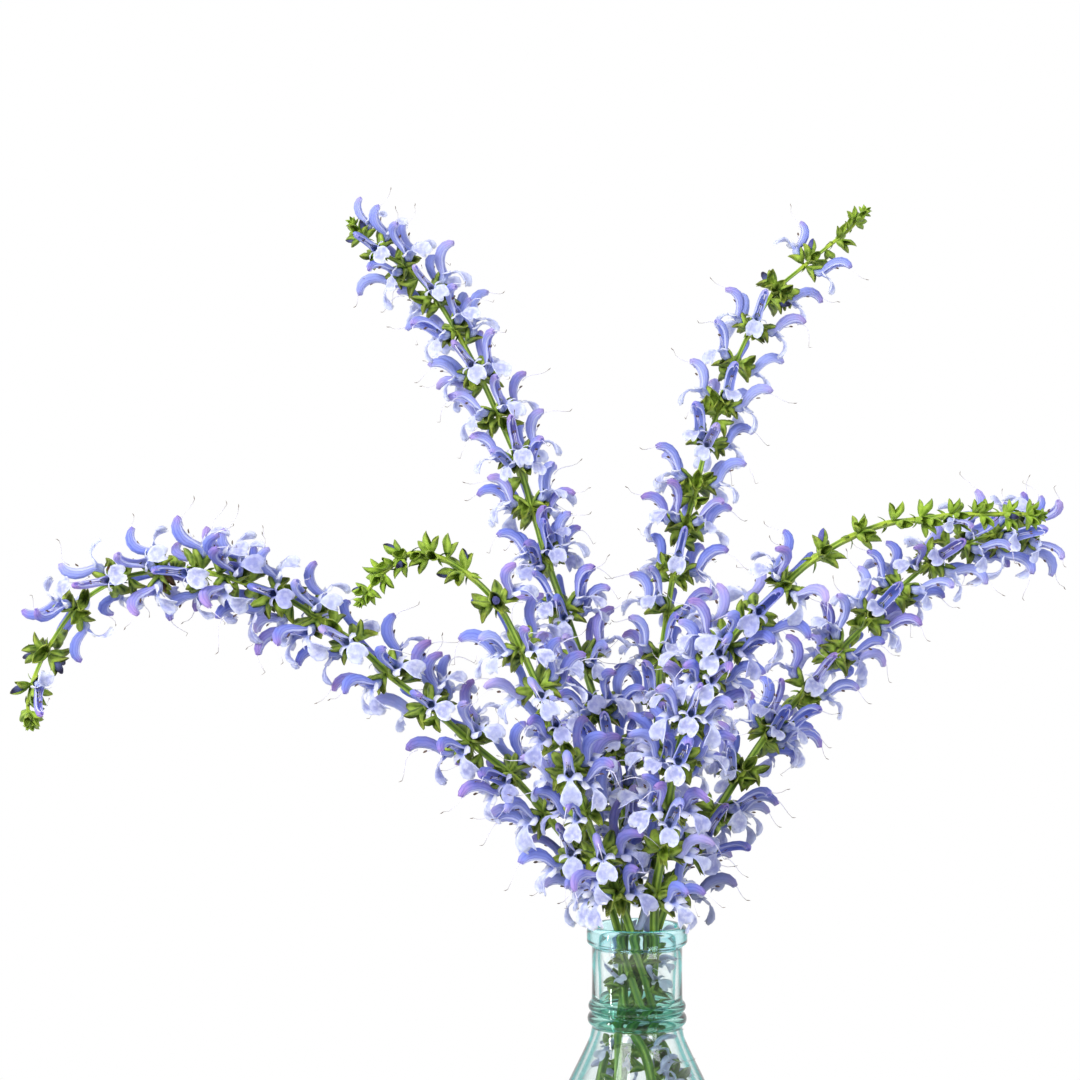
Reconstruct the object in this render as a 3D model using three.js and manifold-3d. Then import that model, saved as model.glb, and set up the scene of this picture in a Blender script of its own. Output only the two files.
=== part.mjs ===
// Six cut flower spikes of a meadow sage standing in water in a ribbed-neck glass bottle.
// Millimetres, +Z up, the bottle's flat base centred on the origin. +Y points away from the viewer.
// Each spike is one solid: a square stem with whorls of stalked calyxes and two-lipped flowers.
import * as THREE from "three";
import { mergeVertices } from "three/addons/utils/BufferGeometryUtils.js";
import Module from "manifold-3d";

const wasm = await Module();
wasm.setup();

// Bottle
const HEIGHT = 225;
const WALL = 3.5;
const BODY_RADIUS = 47.5;
const NECK_RADIUS = 24.5;
const LIP_RADIUS = 27.2;
const BEAD_RADIUS = 26.8;
const FLOOR = 6;
const ROUND_SIDES = 24;

// Water and the holes that the stems stand in
const WATER_LEVEL = 118;
const GAP = 0.3;

// Stems: square, tapering from the cut foot to the tip
const STEM_SIDE = 4.6;
const TIP_SIDE = 1.6;
const TAPER_POWER = 1.3;
// Where a stem passes the bottle's foot, shoulder and waist: height, distance from the axis, and
// the turn in degrees from the way that its spike leans. A stem crosses the bottle, and passes
// the waist a quarter turn on, so that the stems go round each other without touching.
const IN_BOTTLE = [
  { height: 9, radius: 36, turn: 180 },
  { height: 141, radius: 20, turn: 170 },
  { height: 184, radius: 8.4, turn: 90 },
];

// Flowers: five places round each whorl, some of them empty or only a calyx
const PLACES = 5;
const TURN = 36;
const FLOWER_SHARE = 0.82;
const CALYX_SHARE = 0.1;
const GREEN_SHARE = 0.86;
// Degrees that a flower may stray: round the stem, up or down, to a side, and about itself
const STRAY = { round: 9, tip: 9, swing: 8, roll: 14 };
const LIFT = 4;
// A flower's size at the foot of a spike and what it loses to the top, and the same of a calyx
const FLOWER_SIZE = { foot: 1.02, loss: 0.12, stray: 0.08 };
const CALYX_SIZE = { foot: 0.95, loss: 0.38, stray: 0.06 };
const CLEARANCE = 0.5;
// Flowers of one spike may nestle closer to each other than the balls round them
const NESTLE = 0.92;
// Stalks leave the stem a little above its joint, one place higher and the next lower
const STALK_RISE = 3.4;
const STALK_STAGGER = 0.62;
const STALK_RADIUS = 0.62;
const STALK_SHARE = 0.3;
// Clearance balls along a stem: the step between them, and their radius over the stem's side
const STEM_STEP = 3;
const STEM_BALL = 0.75;

// Each spike: the way it leans in degrees (0 is right, 90 is away), the number of whorls in
// flower, and the middle of each whorl from the bottle's mouth to the tip.
const SPIKES = [
  {
    name: "spike_left_arch",
    leans: 185,
    inFlower: 16,
    whorls: [
      [-16, -3, 240], [-31, -9, 262], [-48, -15, 285], [-66, -20, 306], [-88, -26, 325],
      [-109, -32, 344], [-130, -37, 361], [-148, -41, 378], [-166, -45, 391], [-187, -48, 404],
      [-206, -51, 411], [-225, -53, 416], [-246, -54, 417], [-269, -55, 413], [-290, -56, 400],
      [-306, -56, 378], [-314, -56, 361], [-317, -56, 348],
    ],
    tip: [-316, -56, 337],
  },
  {
    name: "spike_back_left",
    leans: 122,
    inFlower: 16,
    whorls: [
      [-5, 17, 244], [-6, 30, 268], [-8, 38, 290], [-12, 43, 312], [-19, 48, 335],
      [-28, 52, 363], [-38, 55, 392], [-48, 58, 420], [-56, 60, 448], [-64, 61, 475],
      [-75, 62, 501], [-86, 62, 525], [-98, 62, 548], [-111, 61, 569], [-125, 60, 585],
      [-140, 59, 594], [-150, 58, 602],
    ],
    tip: [-158, 57, 612],
  },
  {
    name: "spike_front_left",
    leans: 243,
    inFlower: 8,
    whorls: [
      [-10, -18, 243], [-19, -29, 264], [-28, -39, 287], [-36, -48, 311], [-43, -57, 333],
      [-52, -65, 354], [-61, -71, 375], [-73, -78, 399], [-88, -84, 415], [-103, -89, 424],
      [-117, -92, 426], [-128, -94, 419], [-136, -96, 411],
    ],
    tip: [-142, -97, 402],
  },
  {
    name: "spike_back_right",
    leans: 68,
    inFlower: 15,
    whorls: [
      [8, 20, 242], [10, 31, 264], [12, 42, 288], [13, 52, 312], [14, 61, 337],
      [16, 68, 363], [20, 74, 389], [24, 78, 413], [30, 82, 437], [37, 85, 461],
      [43, 88, 485], [51, 90, 509], [59, 92, 531], [69, 94, 553], [83, 96, 576],
      [101, 97, 592], [117, 98, 605], [128, 98, 614],
    ],
    tip: [136, 98, 624],
  },
  {
    name: "spike_front_right",
    leans: 300,
    inFlower: 9,
    whorls: [
      [9, -17, 243], [12, -29, 266], [14, -39, 290], [18, -49, 316], [24, -56, 340],
      [32, -61, 360], [43, -64, 378], [55, -67, 393], [70, -70, 408], [87, -73, 423],
      [105, -75, 434], [123, -77, 441], [138, -78, 443], [153, -79, 445], [167, -80, 446],
      [180, -80, 446], [191, -80, 446],
    ],
    tip: [202, -80, 445],
  },
  {
    name: "spike_right_low",
    leans: 10,
    inFlower: 13,
    whorls: [
      [18, 4, 241], [30, 11, 262], [43, 19, 282], [58, 27, 304], [74, 34, 326],
      [93, 40, 347], [113, 46, 369], [131, 50, 387], [148, 54, 404], [166, 57, 419],
      [184, 59, 430], [202, 61, 435], [217, 62, 437],
    ],
    tip: [230, 62, 438],
  },
];

// Clearance balls of a flower and of a calyx, in the flower's own frame: out, up, across, radius.
const FLOWER_BALLS = [
  [3, 0.4, 0, 1.7], [6.5, 0.7, 0, 2.8], [10, 0.9, 0, 4.2],
  [12.5, 6, 0, 3], [14.4, 9.6, 0, 3], [18, 12.5, 0, 3], [21.6, 15, 0, 2.9],
  [24.8, 14, 0, 2.3], [27.3, 12.7, 0, 1.3],
  [14.5, 0.2, 0, 2.4], [17.8, 0.1, 0, 2], [20.5, -1.6, 0, 2.4],
  [22.3, -3.4, 2.6, 1.9], [22.3, -3.4, -2.6, 1.9], [22, -5.4, 0, 2.2], [21.6, -8, 0, 1.3],
];
const CALYX_BALLS = [[3, 0.4, 0, 1.7], [6.5, 0.7, 0, 2.9], [9.4, 0.9, 0, 4.2]];

const MATERIALS = {
  glass: new THREE.MeshStandardMaterial({ color: 0xbfe3dc, roughness: 0.05, metalness: 0 }),
  water: new THREE.MeshStandardMaterial({ color: 0xdfeeee, roughness: 0.02, metalness: 0 }),
  flowers: new THREE.MeshStandardMaterial({ color: 0x8f93dc, roughness: 0.6, metalness: 0 }),
};

// A repeatable number from 0 to 1 for a list of whole-number keys.
function chance(...keys) {
  let state = 2463534242;
  for (const key of keys) {
    state = (state ^ key) >>> 0;
    state = (state * 1664525 + 1013904223) % 4294967296;
    state = (state ^ (state >>> 15)) >>> 0;
    state = (state * 1664525 + 1013904223) % 4294967296;
  }
  return state / 4294967296;
}

function spread(amount, ...keys) {
  return amount * (2 * chance(...keys) - 1);
}

function mesh(name, geometry, material) {
  const made = new THREE.Mesh(geometry, material);
  made.name = name;
  return made;
}

// A closed solid from corner points and the triangles between them.
function solidOf(points, faces) {
  return new wasm.Manifold(
    new wasm.Mesh({
      numProp: 3,
      vertProperties: new Float32Array(points.flatMap((p) => [p.x, p.y, p.z])),
      triVerts: new Uint32Array(faces.flat()),
    }),
  );
}

function solidFromGeometry(geometry) {
  const bare = geometry.clone();
  bare.deleteAttribute("normal");
  bare.deleteAttribute("uv");
  const merged = mergeVertices(bare, 1e-4);
  return new wasm.Manifold(
    new wasm.Mesh({
      numProp: 3,
      vertProperties: new Float32Array(merged.attributes.position.array),
      triVerts: new Uint32Array(merged.index.array),
    }),
  );
}

function geometryOf(solid) {
  const made = solid.getMesh();
  const geometry = new THREE.BufferGeometry();
  geometry.setAttribute("position", new THREE.BufferAttribute(made.vertProperties, made.numProp));
  geometry.setIndex(new THREE.BufferAttribute(made.triVerts, 1));
  return geometry;
}

// Bottle and water

// The wall's inner line: round the mouth, down the neck, out over the shoulder to the floor.
const INSIDE = [
  [NECK_RADIUS - WALL + 1, HEIGHT - 1],
  [NECK_RADIUS - WALL, HEIGHT - 4],
  [NECK_RADIUS - WALL, 168],
  [33, 140],
  [41.5, WATER_LEVEL],
  [BODY_RADIUS - WALL, 98],
  [BODY_RADIUS - WALL, FLOOR + 6],
  [BODY_RADIUS - WALL - 4, FLOOR],
];

function bottleGeometry() {
  const outside = [
    [0, 0],
    [BODY_RADIUS - 5, 0],
    [BODY_RADIUS - 1.2, 2],
    [BODY_RADIUS, 7],
    [BODY_RADIUS, 96],
    [46.4, 112],
    [43, 127],
    [36.8, 141],
    [30.2, 154.5],
    [NECK_RADIUS, 167],
    [NECK_RADIUS, 171],
    [BEAD_RADIUS - 0.8, 172],
    [BEAD_RADIUS, 175],
    [BEAD_RADIUS - 0.8, 178],
    [NECK_RADIUS + 0.4, 179.2],
    [BEAD_RADIUS - 0.8, 181],
    [BEAD_RADIUS - 0.8, 184],
    [NECK_RADIUS, 185.6],
    [NECK_RADIUS, 214],
    [LIP_RADIUS, 216.5],
    [LIP_RADIUS, 222.5],
    [LIP_RADIUS - 1.4, HEIGHT],
  ];
  const profile = [...outside, ...INSIDE, [0, FLOOR]].map(([r, z]) => new THREE.Vector2(r, z));
  return new THREE.LatheGeometry(profile, ROUND_SIDES).rotateX(Math.PI / 2);
}

function waterGeometry(stems) {
  const wetted = INSIDE.filter(([, z]) => z <= WATER_LEVEL).reverse();
  const side = wetted.map(([r, z]) => [r - GAP, Math.max(z, FLOOR + GAP)]);
  const profile = [[0, FLOOR + GAP], ...side, [0, WATER_LEVEL]];
  const points = profile.map(([r, z]) => new THREE.Vector2(r, z));
  const full = new THREE.LatheGeometry(points, ROUND_SIDES).rotateX(Math.PI / 2);
  let water = solidFromGeometry(full);
  for (const stem of stems) {
    water = water.subtract(holeSolid(stem));
  }
  return geometryOf(water);
}

// Stems

function around(radius, degrees, height) {
  const angle = (degrees * Math.PI) / 180;
  return new THREE.Vector3(radius * Math.cos(angle), radius * Math.sin(angle), height);
}

// The sections of a stem, from its cut foot to its tip, each with its own frame and width.
function stemOf(spike) {
  const points = [
    ...IN_BOTTLE.map(({ height, radius, turn }) => around(radius, spike.leans + turn, height)),
    ...spike.whorls.map((whorl) => new THREE.Vector3(...whorl)),
    new THREE.Vector3(...spike.tip),
  ];
  const last = points.length - 1;
  return points.map((at, i) => {
    const before = points[Math.max(i - 1, 0)];
    const after = points[Math.min(i + 1, last)];
    const along = after.clone().sub(before).normalize();
    const depth = new THREE.Vector3(0, 1, 0).addScaledVector(along, -along.y).normalize();
    const side = new THREE.Vector3().crossVectors(along, depth);
    const taper = Math.pow(i / last, TAPER_POWER);
    return { at, along, depth, side, width: STEM_SIDE + (TIP_SIDE - STEM_SIDE) * taper };
  });
}

const CORNERS = [[1, 1], [-1, 1], [-1, -1], [1, -1]];

function squareAt(section, width) {
  return CORNERS.map(([a, b]) =>
    section.at
      .clone()
      .addScaledVector(section.depth, (a * width) / 2)
      .addScaledVector(section.side, (b * width) / 2),
  );
}

function squareTube(rings) {
  const points = rings.flat();
  const faces = [[0, 2, 1], [0, 3, 2]];
  for (let r = 0; r + 1 < rings.length; r++) {
    for (let k = 0; k < 4; k++) {
      const a = 4 * r + k;
      const b = 4 * r + ((k + 1) % 4);
      faces.push([a, b, b + 4], [a, b + 4, a + 4]);
    }
  }
  const end = points.length - 4;
  faces.push([end, end + 1, end + 2], [end, end + 2, end + 3]);
  return { points, faces };
}

function holeSolid(stem) {
  const [foot, shoulder] = stem;
  const start = { ...foot, at: foot.at.clone().addScaledVector(foot.along, -GAP) };
  const { points, faces } = squareTube([
    squareAt(start, foot.width + 2 * GAP),
    squareAt(shoulder, shoulder.width + 2 * GAP),
  ]);
  return solidOf(points, faces);
}

// Flowers and calyxes, each in its own frame: x out from the stem, y up it, z across it. Their
// first three corners, numbers 0 to 2, lie on the stem's face and aren't listed here.

// The calyx: a three-cornered stalk that opens into a mouth with an upper and a lower tooth.
const MOUTH = [[12.6, 5.4, 0], [9.6, 0.9, 3], [11.8, -3.6, 0], [9.6, 0.9, -3]];
const STALK_FACES = [[0, 1, 4], [0, 4, 3], [1, 2, 5], [1, 5, 4], [2, 0, 6], [2, 6, 5], [0, 3, 6]];

function calyxForm() {
  return { points: MOUTH, faces: [...STALK_FACES, [3, 4, 6], [5, 6, 4]] };
}

// The corolla: a hooded upper lip that arches up and over, and a lower lip that runs out on a
// narrow neck and hangs down as a broad lobe. Both rise from the calyx's mouth.
function flowerForm() {
  const throat = [[11, 3.6, 0], [10.6, -1.8, 0]];
  const hood = [
    [12.4, 10.8, 0], [16.4, 8.6, 1.9], [16.4, 8.6, -1.9],
    [21.2, 17.2, 0], [22.4, 12.8, 1.8], [22.4, 12.8, -1.8],
    [28.3, 12.3, 0],
  ];
  const lip = [
    [17.2, -0.9, 0], [17.7, 0.9, -1.6], [17.7, 0.9, 1.6],
    [21.4, -4.1, 0], [22.7, -3, -4.2], [22.7, -3, 4.2],
    [21.6, -9.2, 0],
  ];
  const faces = [...STALK_FACES, [3, 4, 7], [3, 7, 6], [5, 6, 8], [5, 8, 4]];
  joinRings(faces, [7, 4, 6], [9, 10, 11]);
  joinRings(faces, [9, 10, 11], [12, 13, 14]);
  faces.push([12, 13, 15], [13, 14, 15], [14, 12, 15]);
  joinRings(faces, [8, 6, 4], [16, 17, 18]);
  joinRings(faces, [16, 17, 18], [19, 20, 21]);
  faces.push([19, 20, 22], [20, 21, 22], [21, 19, 22]);
  return { points: [...MOUTH, ...throat, ...hood, ...lip], faces };
}

function joinRings(faces, near, far) {
  for (let k = 0; k < near.length; k++) {
    const next = (k + 1) % near.length;
    faces.push([near[k], near[next], far[next]], [near[k], far[next], far[k]]);
  }
}

const FORMS = { flower: flowerForm(), calyx: calyxForm() };

// Where an organ sits: out of the stem at an angle round it, then tipped, swung and rolled.
function placing(section, at, degrees, tip, swing, roll, size) {
  const angle = (degrees * Math.PI) / 180;
  const out = section.depth
    .clone()
    .multiplyScalar(Math.cos(angle))
    .addScaledVector(section.side, Math.sin(angle));
  const across = new THREE.Vector3().crossVectors(out, section.along);
  const turned = new THREE.Matrix4().makeBasis(out, section.along, across);
  turned.multiply(new THREE.Matrix4().makeRotationX((roll * Math.PI) / 180));
  turned.multiply(new THREE.Matrix4().makeRotationY((swing * Math.PI) / 180));
  turned.multiply(new THREE.Matrix4().makeRotationZ((tip * Math.PI) / 180));
  turned.multiply(new THREE.Matrix4().makeScale(size, size, size));
  return turned.setPosition(at);
}

// A ball near the stem is part of a stalk, and may touch what else grows from the same stem.
function placedBalls(balls, matrix, size, s) {
  return balls.map(([x, y, z, radius]) => ({
    at: new THREE.Vector3(x, y, z).applyMatrix4(matrix),
    radius: radius * size,
    spike: s,
    stalk: x < 5,
  }));
}

function clearOfBottle(ball) {
  const out = Math.hypot(ball.at.x, ball.at.y);
  const beyond = Math.max(NECK_RADIUS - WALL - out, out - LIP_RADIUS, 0);
  const above = Math.max(ball.at.z - HEIGHT, 0);
  return Math.hypot(beyond, above) > ball.radius + CLEARANCE;
}

function isClear(balls, taken) {
  for (const ball of balls) {
    if (!clearOfBottle(ball)) {
      return false;
    }
    for (const other of taken) {
      const same = other.spike === ball.spike;
      if (same && (other.stalk || ball.stalk)) {
        continue;
      }
      const touch = ball.radius + other.radius;
      const apart = same ? NESTLE * touch : touch + CLEARANCE;
      if (ball.at.distanceToSquared(other.at) < apart * apart) {
        return false;
      }
    }
  }
  return true;
}

// Turns tried in order, in degrees round the stem and up towards the tip, to clear a neighbour.
const TRIES = [[0, 0], [12, 8], [-12, 8], [0, 16], [20, 12], [-20, 12], [0, -14], [0, 26]];

// What grows at place p of whorl w on spike s, or nothing if no try is clear of the rest.
function organAt(stem, s, w, p, kind, size, taken) {
  const segment = w + IN_BOTTLE.length;
  const section = stem[segment];
  const next = stem[segment + 1];
  const rise = STALK_RISE + STALK_STAGGER * (((2 * p) % PLACES) - 2);
  const at = section.at.clone().lerp(next.at, rise / section.at.distanceTo(next.at));
  const degrees = TURN * w + (360 / PLACES) * p + spread(STRAY.round, s, w, p, 1);
  const tip = LIFT + spread(STRAY.tip, s, w, p, 2);
  const swing = spread(STRAY.swing, s, w, p, 3);
  const roll = spread(STRAY.roll, s, w, p, 4);
  const balls = kind === "flower" ? FLOWER_BALLS : CALYX_BALLS;
  for (const [round, up] of TRIES) {
    const matrix = placing(section, at, degrees + round, tip + up, swing, roll, size);
    const placed = placedBalls(balls, matrix, size, s);
    if (isClear(placed, taken)) {
      return { kind, matrix, balls: placed, segment, degrees, rise };
    }
  }
  return null;
}

function kindAt(spike, s, w, p) {
  const draw = chance(s, w, p, 5);
  if (w >= spike.inFlower) {
    return draw < GREEN_SHARE ? "calyx" : "none";
  }
  const last = w === spike.inFlower - 1;
  const flowers = last ? FLOWER_SHARE / 2 : FLOWER_SHARE;
  if (draw < flowers) {
    return "flower";
  }
  return draw < flowers + CALYX_SHARE || last ? "calyx" : "none";
}

// Flowers shrink a little towards the top of a spike, and the green calyxes above them more.
function sizeAt(spike, s, w, p, kind) {
  const { foot, loss, stray } = kind === "flower" ? FLOWER_SIZE : CALYX_SIZE;
  const above = Math.max(w - spike.inFlower + 1, 0) / (spike.whorls.length - spike.inFlower + 1);
  const up = kind === "flower" ? w / spike.inFlower : above;
  return foot - loss * up + spread(stray, s, w, p, 6);
}

function stemBalls(stem, s) {
  const balls = [];
  for (let i = 0; i + 1 < stem.length; i++) {
    const steps = Math.ceil(stem[i].at.distanceTo(stem[i + 1].at) / STEM_STEP);
    for (let k = 0; k < steps; k++) {
      const at = stem[i].at.clone().lerp(stem[i + 1].at, k / steps);
      balls.push({ at, radius: stem[i].width * STEM_BALL, spike: s, stalk: false });
    }
  }
  return balls;
}

// All spikes grow together, a whorl at a time from the mouth up, so that they share the room.
function growSpikes() {
  const stems = SPIKES.map(stemOf);
  const taken = stems.flatMap(stemBalls);
  const organs = SPIKES.map(() => []);
  const most = Math.max(...SPIKES.map((spike) => spike.whorls.length));
  for (let w = 0; w < most; w++) {
    SPIKES.forEach((spike, s) => {
      for (let p = 0; w < spike.whorls.length && p < PLACES; p++) {
        const kinds = { flower: ["flower", "calyx"], calyx: ["calyx"], none: [] };
        for (const kind of kinds[kindAt(spike, s, w, p)]) {
          const grown = organAt(stems[s], s, w, p, kind, sizeAt(spike, s, w, p, kind), taken);
          if (grown) {
            organs[s].push(grown);
            taken.push(...grown.balls);
            break;
          }
        }
      }
    });
  }
  return { stems, organs };
}

// The face of the stem that an organ leaves by, and its stalk's three corners on that face,
// measured across the face and along the stem. Faces are numbered as squareAt's corners.
function footprint(organ, width) {
  const quarter = Math.round(organ.degrees / 90);
  const radius = Math.min(STALK_RADIUS, STALK_SHARE * width);
  const lean = ((organ.degrees - 90 * quarter) * Math.PI) / 180;
  const limit = width / 2 - radius / Math.cos(Math.PI / 6);
  const middle = width / 2 + Math.max(-limit, Math.min(limit, (width / 2) * Math.tan(lean)));
  const corners = [90, 210, 330].map((turn) => {
    const angle = (turn * Math.PI) / 180;
    return new THREE.Vector2(middle + radius * Math.cos(angle), organ.rise + radius * Math.sin(angle));
  });
  return { face: (((quarter + 3) % 4) + 4) % 4, corners };
}

// One closed skin: the square stem, with a three-cornered hole in it for each stalk, and the
// organs sewn to those holes.
function spikeGeometry(stem, organs) {
  const points = stem.flatMap((section) => squareAt(section, section.width));
  const last = points.length - 4;
  const faces = [[0, 2, 1], [0, 3, 2], [last, last + 1, last + 2], [last, last + 2, last + 3]];
  for (let i = 0; i + 1 < stem.length; i++) {
    const length = stem[i].at.distanceTo(stem[i + 1].at);
    const width = stem[i].width;
    const inset = (width - stem[i + 1].width) / 2;
    const growing = organs
      .filter((organ) => organ.segment === i)
      .map((organ) => ({ organ, ...footprint(organ, stem[i + 1].width) }));
    for (let k = 0; k < 4; k++) {
      const corners = [4 * i + k, 4 * i + ((k + 1) % 4)];
      corners.push(corners[1] + 4, corners[0] + 4);
      const outline = [[0, 0], [width, 0], [width - inset, length], [inset, length]];
      const contour = outline.map(([a, v]) => new THREE.Vector2(a, v));
      const here = growing.filter((each) => each.face === k);
      const flat = [...contour];
      const numbers = [...corners];
      for (const { organ, corners: holes } of here) {
        const first = points.length;
        for (const hole of holes) {
          const up = hole.y / length;
          const left = points[corners[0]].clone().lerp(points[corners[3]], up);
          const right = points[corners[1]].clone().lerp(points[corners[2]], up);
          const across = (hole.x + inset) / width;
          points.push(left.lerp(right, across));
          flat.push(new THREE.Vector2(inset * up + across * (width - 2 * inset * up), hole.y));
          numbers.push(points.length - 1);
        }
        sewOrgan(points, faces, organ, first);
      }
      const holes = here.map((each, h) => flat.slice(4 + 3 * h, 7 + 3 * h));
      for (const triangle of THREE.ShapeUtils.triangulateShape([...contour], holes)) {
        const [a, b, c] = triangle.map((n) => flat[n]);
        const area = (b.x - a.x) * (c.y - a.y) - (c.x - a.x) * (b.y - a.y);
        const [m, n, o] = triangle.map((corner) => numbers[corner]);
        faces.push(area > 0 ? [m, n, o] : [m, o, n]);
      }
    }
  }
  const geometry = new THREE.BufferGeometry();
  geometry.setAttribute(
    "position",
    new THREE.Float32BufferAttribute(points.flatMap((p) => [p.x, p.y, p.z]), 3),
  );
  geometry.setIndex(faces.flat());
  return geometry;
}

function sewOrgan(points, faces, organ, first) {
  const form = FORMS[organ.kind];
  const beyond = points.length - 3;
  const placed = form.points.map((p) => new THREE.Vector3(...p).applyMatrix4(organ.matrix));
  points.push(...placed);
  faces.push(...form.faces.map((face) => face.map((n) => (n < 3 ? first + n : beyond + n))));
}

const { stems, organs } = growSpikes();
const salvia = new THREE.Group();
salvia.add(mesh("bottle", bottleGeometry(), MATERIALS.glass));
salvia.add(mesh("water", waterGeometry(stems), MATERIALS.water));
SPIKES.forEach((spike, s) => {
  salvia.add(mesh(spike.name, spikeGeometry(stems[s], organs[s]), MATERIALS.flowers));
});

export default salvia;
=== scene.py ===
# Six cut flower spikes of a meadow sage standing in water in a ring-necked glass bottle.
# Sizes are in millimetres and scaled to metres where a piece is placed. +Z is up, +Y points away
# from the viewer, and the bottle's flat base is centred on the origin.
import math

import bmesh
import bpy
import numpy as np
from mathutils import Matrix, Vector


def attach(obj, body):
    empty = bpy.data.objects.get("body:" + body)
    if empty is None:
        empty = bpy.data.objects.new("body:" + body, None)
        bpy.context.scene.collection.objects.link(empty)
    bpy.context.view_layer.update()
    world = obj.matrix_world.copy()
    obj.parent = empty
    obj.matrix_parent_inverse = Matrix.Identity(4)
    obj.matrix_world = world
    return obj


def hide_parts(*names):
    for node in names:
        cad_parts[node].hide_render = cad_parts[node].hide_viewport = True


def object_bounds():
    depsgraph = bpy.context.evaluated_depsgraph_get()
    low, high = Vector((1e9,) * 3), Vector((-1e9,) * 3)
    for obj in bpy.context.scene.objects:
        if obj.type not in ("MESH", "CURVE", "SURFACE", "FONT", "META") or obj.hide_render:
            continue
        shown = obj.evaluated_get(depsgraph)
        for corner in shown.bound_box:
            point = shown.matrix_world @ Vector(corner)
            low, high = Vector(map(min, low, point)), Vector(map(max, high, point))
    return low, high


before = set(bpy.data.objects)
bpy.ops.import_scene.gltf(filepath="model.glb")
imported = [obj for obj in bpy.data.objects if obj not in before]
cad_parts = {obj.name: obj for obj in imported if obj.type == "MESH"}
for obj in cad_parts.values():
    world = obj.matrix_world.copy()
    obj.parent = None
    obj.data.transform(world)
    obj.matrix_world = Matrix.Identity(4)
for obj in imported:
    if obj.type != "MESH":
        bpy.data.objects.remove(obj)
cad_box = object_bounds()

MM = 0.001

# Bottle and water
HEIGHT = 225
WALL = 3.5
BODY_RADIUS = 47.5
NECK_RADIUS = 24.5
LIP_RADIUS = 27.2
BEAD_RADIUS = 26.8
FLOOR = 6
WATER_LEVEL = 118
# Radius and height of the inner wall where the neck ends, and down the shoulder
NECK_FOOT = (NECK_RADIUS - WALL, 169)
SHOULDER = [(24.6, 159), (33, 140), (41.2, 119)]

# Stems: square, tapering from the cut foot to the tip
STEM_SIDE = 4.6
TIP_SIDE = 1.6
TAPER_POWER = 1.3
IN_BOTTLE = [(9, 36, 180), (141, 20, 170), (184, 8.4, 90)]

# Flowers: five places round each whorl, some of them empty or only a calyx
PLACES = 5
TURN = 36
FLOWER_SHARE = 0.82
CALYX_SHARE = 0.1
GREEN_SHARE = 0.86
STRAY_ROUND = 9
STRAY_TIP = 9
STRAY_SWING = 8
STRAY_ROLL = 14
LIFT = 4
FLOWER_SIZE = (1.02, 0.12, 0.08)
CALYX_SIZE = (0.95, 0.38, 0.06)
CLEARANCE = 0.5
NESTLE = 0.92
STALK_RISE = 3.4
STALK_STAGGER = 0.62
STEM_STEP = 3
STEM_BALL = 0.75
STALK_REACH = 5

# Each spike: the way it leans in degrees (0 is right, 90 is away), the number of whorls in
# flower, and the middle of each whorl from the bottle's mouth to the tip.
SPIKES = [
    {
        "name": "spike_left_arch",
        "leans": 185,
        "in_flower": 16,
        "whorls": [
            (-16, -3, 240), (-31, -9, 262), (-48, -15, 285), (-66, -20, 306), (-88, -26, 325),
            (-109, -32, 344), (-130, -37, 361), (-148, -41, 378), (-166, -45, 391),
            (-187, -48, 404), (-206, -51, 411), (-225, -53, 416), (-246, -54, 417),
            (-269, -55, 413), (-290, -56, 400), (-306, -56, 378), (-314, -56, 361),
            (-317, -56, 348),
        ],
        "tip": (-316, -56, 337),
    },
    {
        "name": "spike_back_left",
        "leans": 122,
        "in_flower": 16,
        "whorls": [
            (-5, 17, 244), (-6, 30, 268), (-8, 38, 290), (-12, 43, 312), (-19, 48, 335),
            (-28, 52, 363), (-38, 55, 392), (-48, 58, 420), (-56, 60, 448), (-64, 61, 475),
            (-75, 62, 501), (-86, 62, 525), (-98, 62, 548), (-111, 61, 569), (-125, 60, 585),
            (-140, 59, 594), (-150, 58, 602),
        ],
        "tip": (-158, 57, 612),
    },
    {
        "name": "spike_front_left",
        "leans": 243,
        "in_flower": 8,
        "whorls": [
            (-10, -18, 243), (-19, -29, 264), (-28, -39, 287), (-36, -48, 311),
            (-43, -57, 333), (-52, -65, 354), (-61, -71, 375), (-73, -78, 399),
            (-88, -84, 415), (-103, -89, 424), (-117, -92, 426), (-128, -94, 419),
            (-136, -96, 411),
        ],
        "tip": (-142, -97, 402),
    },
    {
        "name": "spike_back_right",
        "leans": 68,
        "in_flower": 15,
        "whorls": [
            (8, 20, 242), (10, 31, 264), (12, 42, 288), (13, 52, 312), (14, 61, 337),
            (16, 68, 363), (20, 74, 389), (24, 78, 413), (30, 82, 437), (37, 85, 461),
            (43, 88, 485), (51, 90, 509), (59, 92, 531), (69, 94, 553), (83, 96, 576),
            (101, 97, 592), (117, 98, 605), (128, 98, 614),
        ],
        "tip": (136, 98, 624),
    },
    {
        "name": "spike_front_right",
        "leans": 300,
        "in_flower": 9,
        "whorls": [
            (9, -17, 243), (12, -29, 266), (14, -39, 290), (18, -49, 316), (24, -56, 340),
            (32, -61, 360), (43, -64, 378), (55, -67, 393), (70, -70, 408), (87, -73, 423),
            (105, -75, 434), (123, -77, 441), (138, -78, 443), (153, -79, 445),
            (167, -80, 446), (180, -80, 446), (191, -80, 446),
        ],
        "tip": (202, -80, 445),
    },
    {
        "name": "spike_right_low",
        "leans": 10,
        "in_flower": 13,
        "whorls": [
            (18, 4, 241), (30, 11, 262), (43, 19, 282), (58, 27, 304), (74, 34, 326),
            (93, 40, 347), (113, 46, 369), (131, 50, 387), (148, 54, 404), (166, 57, 419),
            (184, 59, 430), (202, 61, 435), (217, 62, 437),
        ],
        "tip": (230, 62, 438),
    },
]

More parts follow.
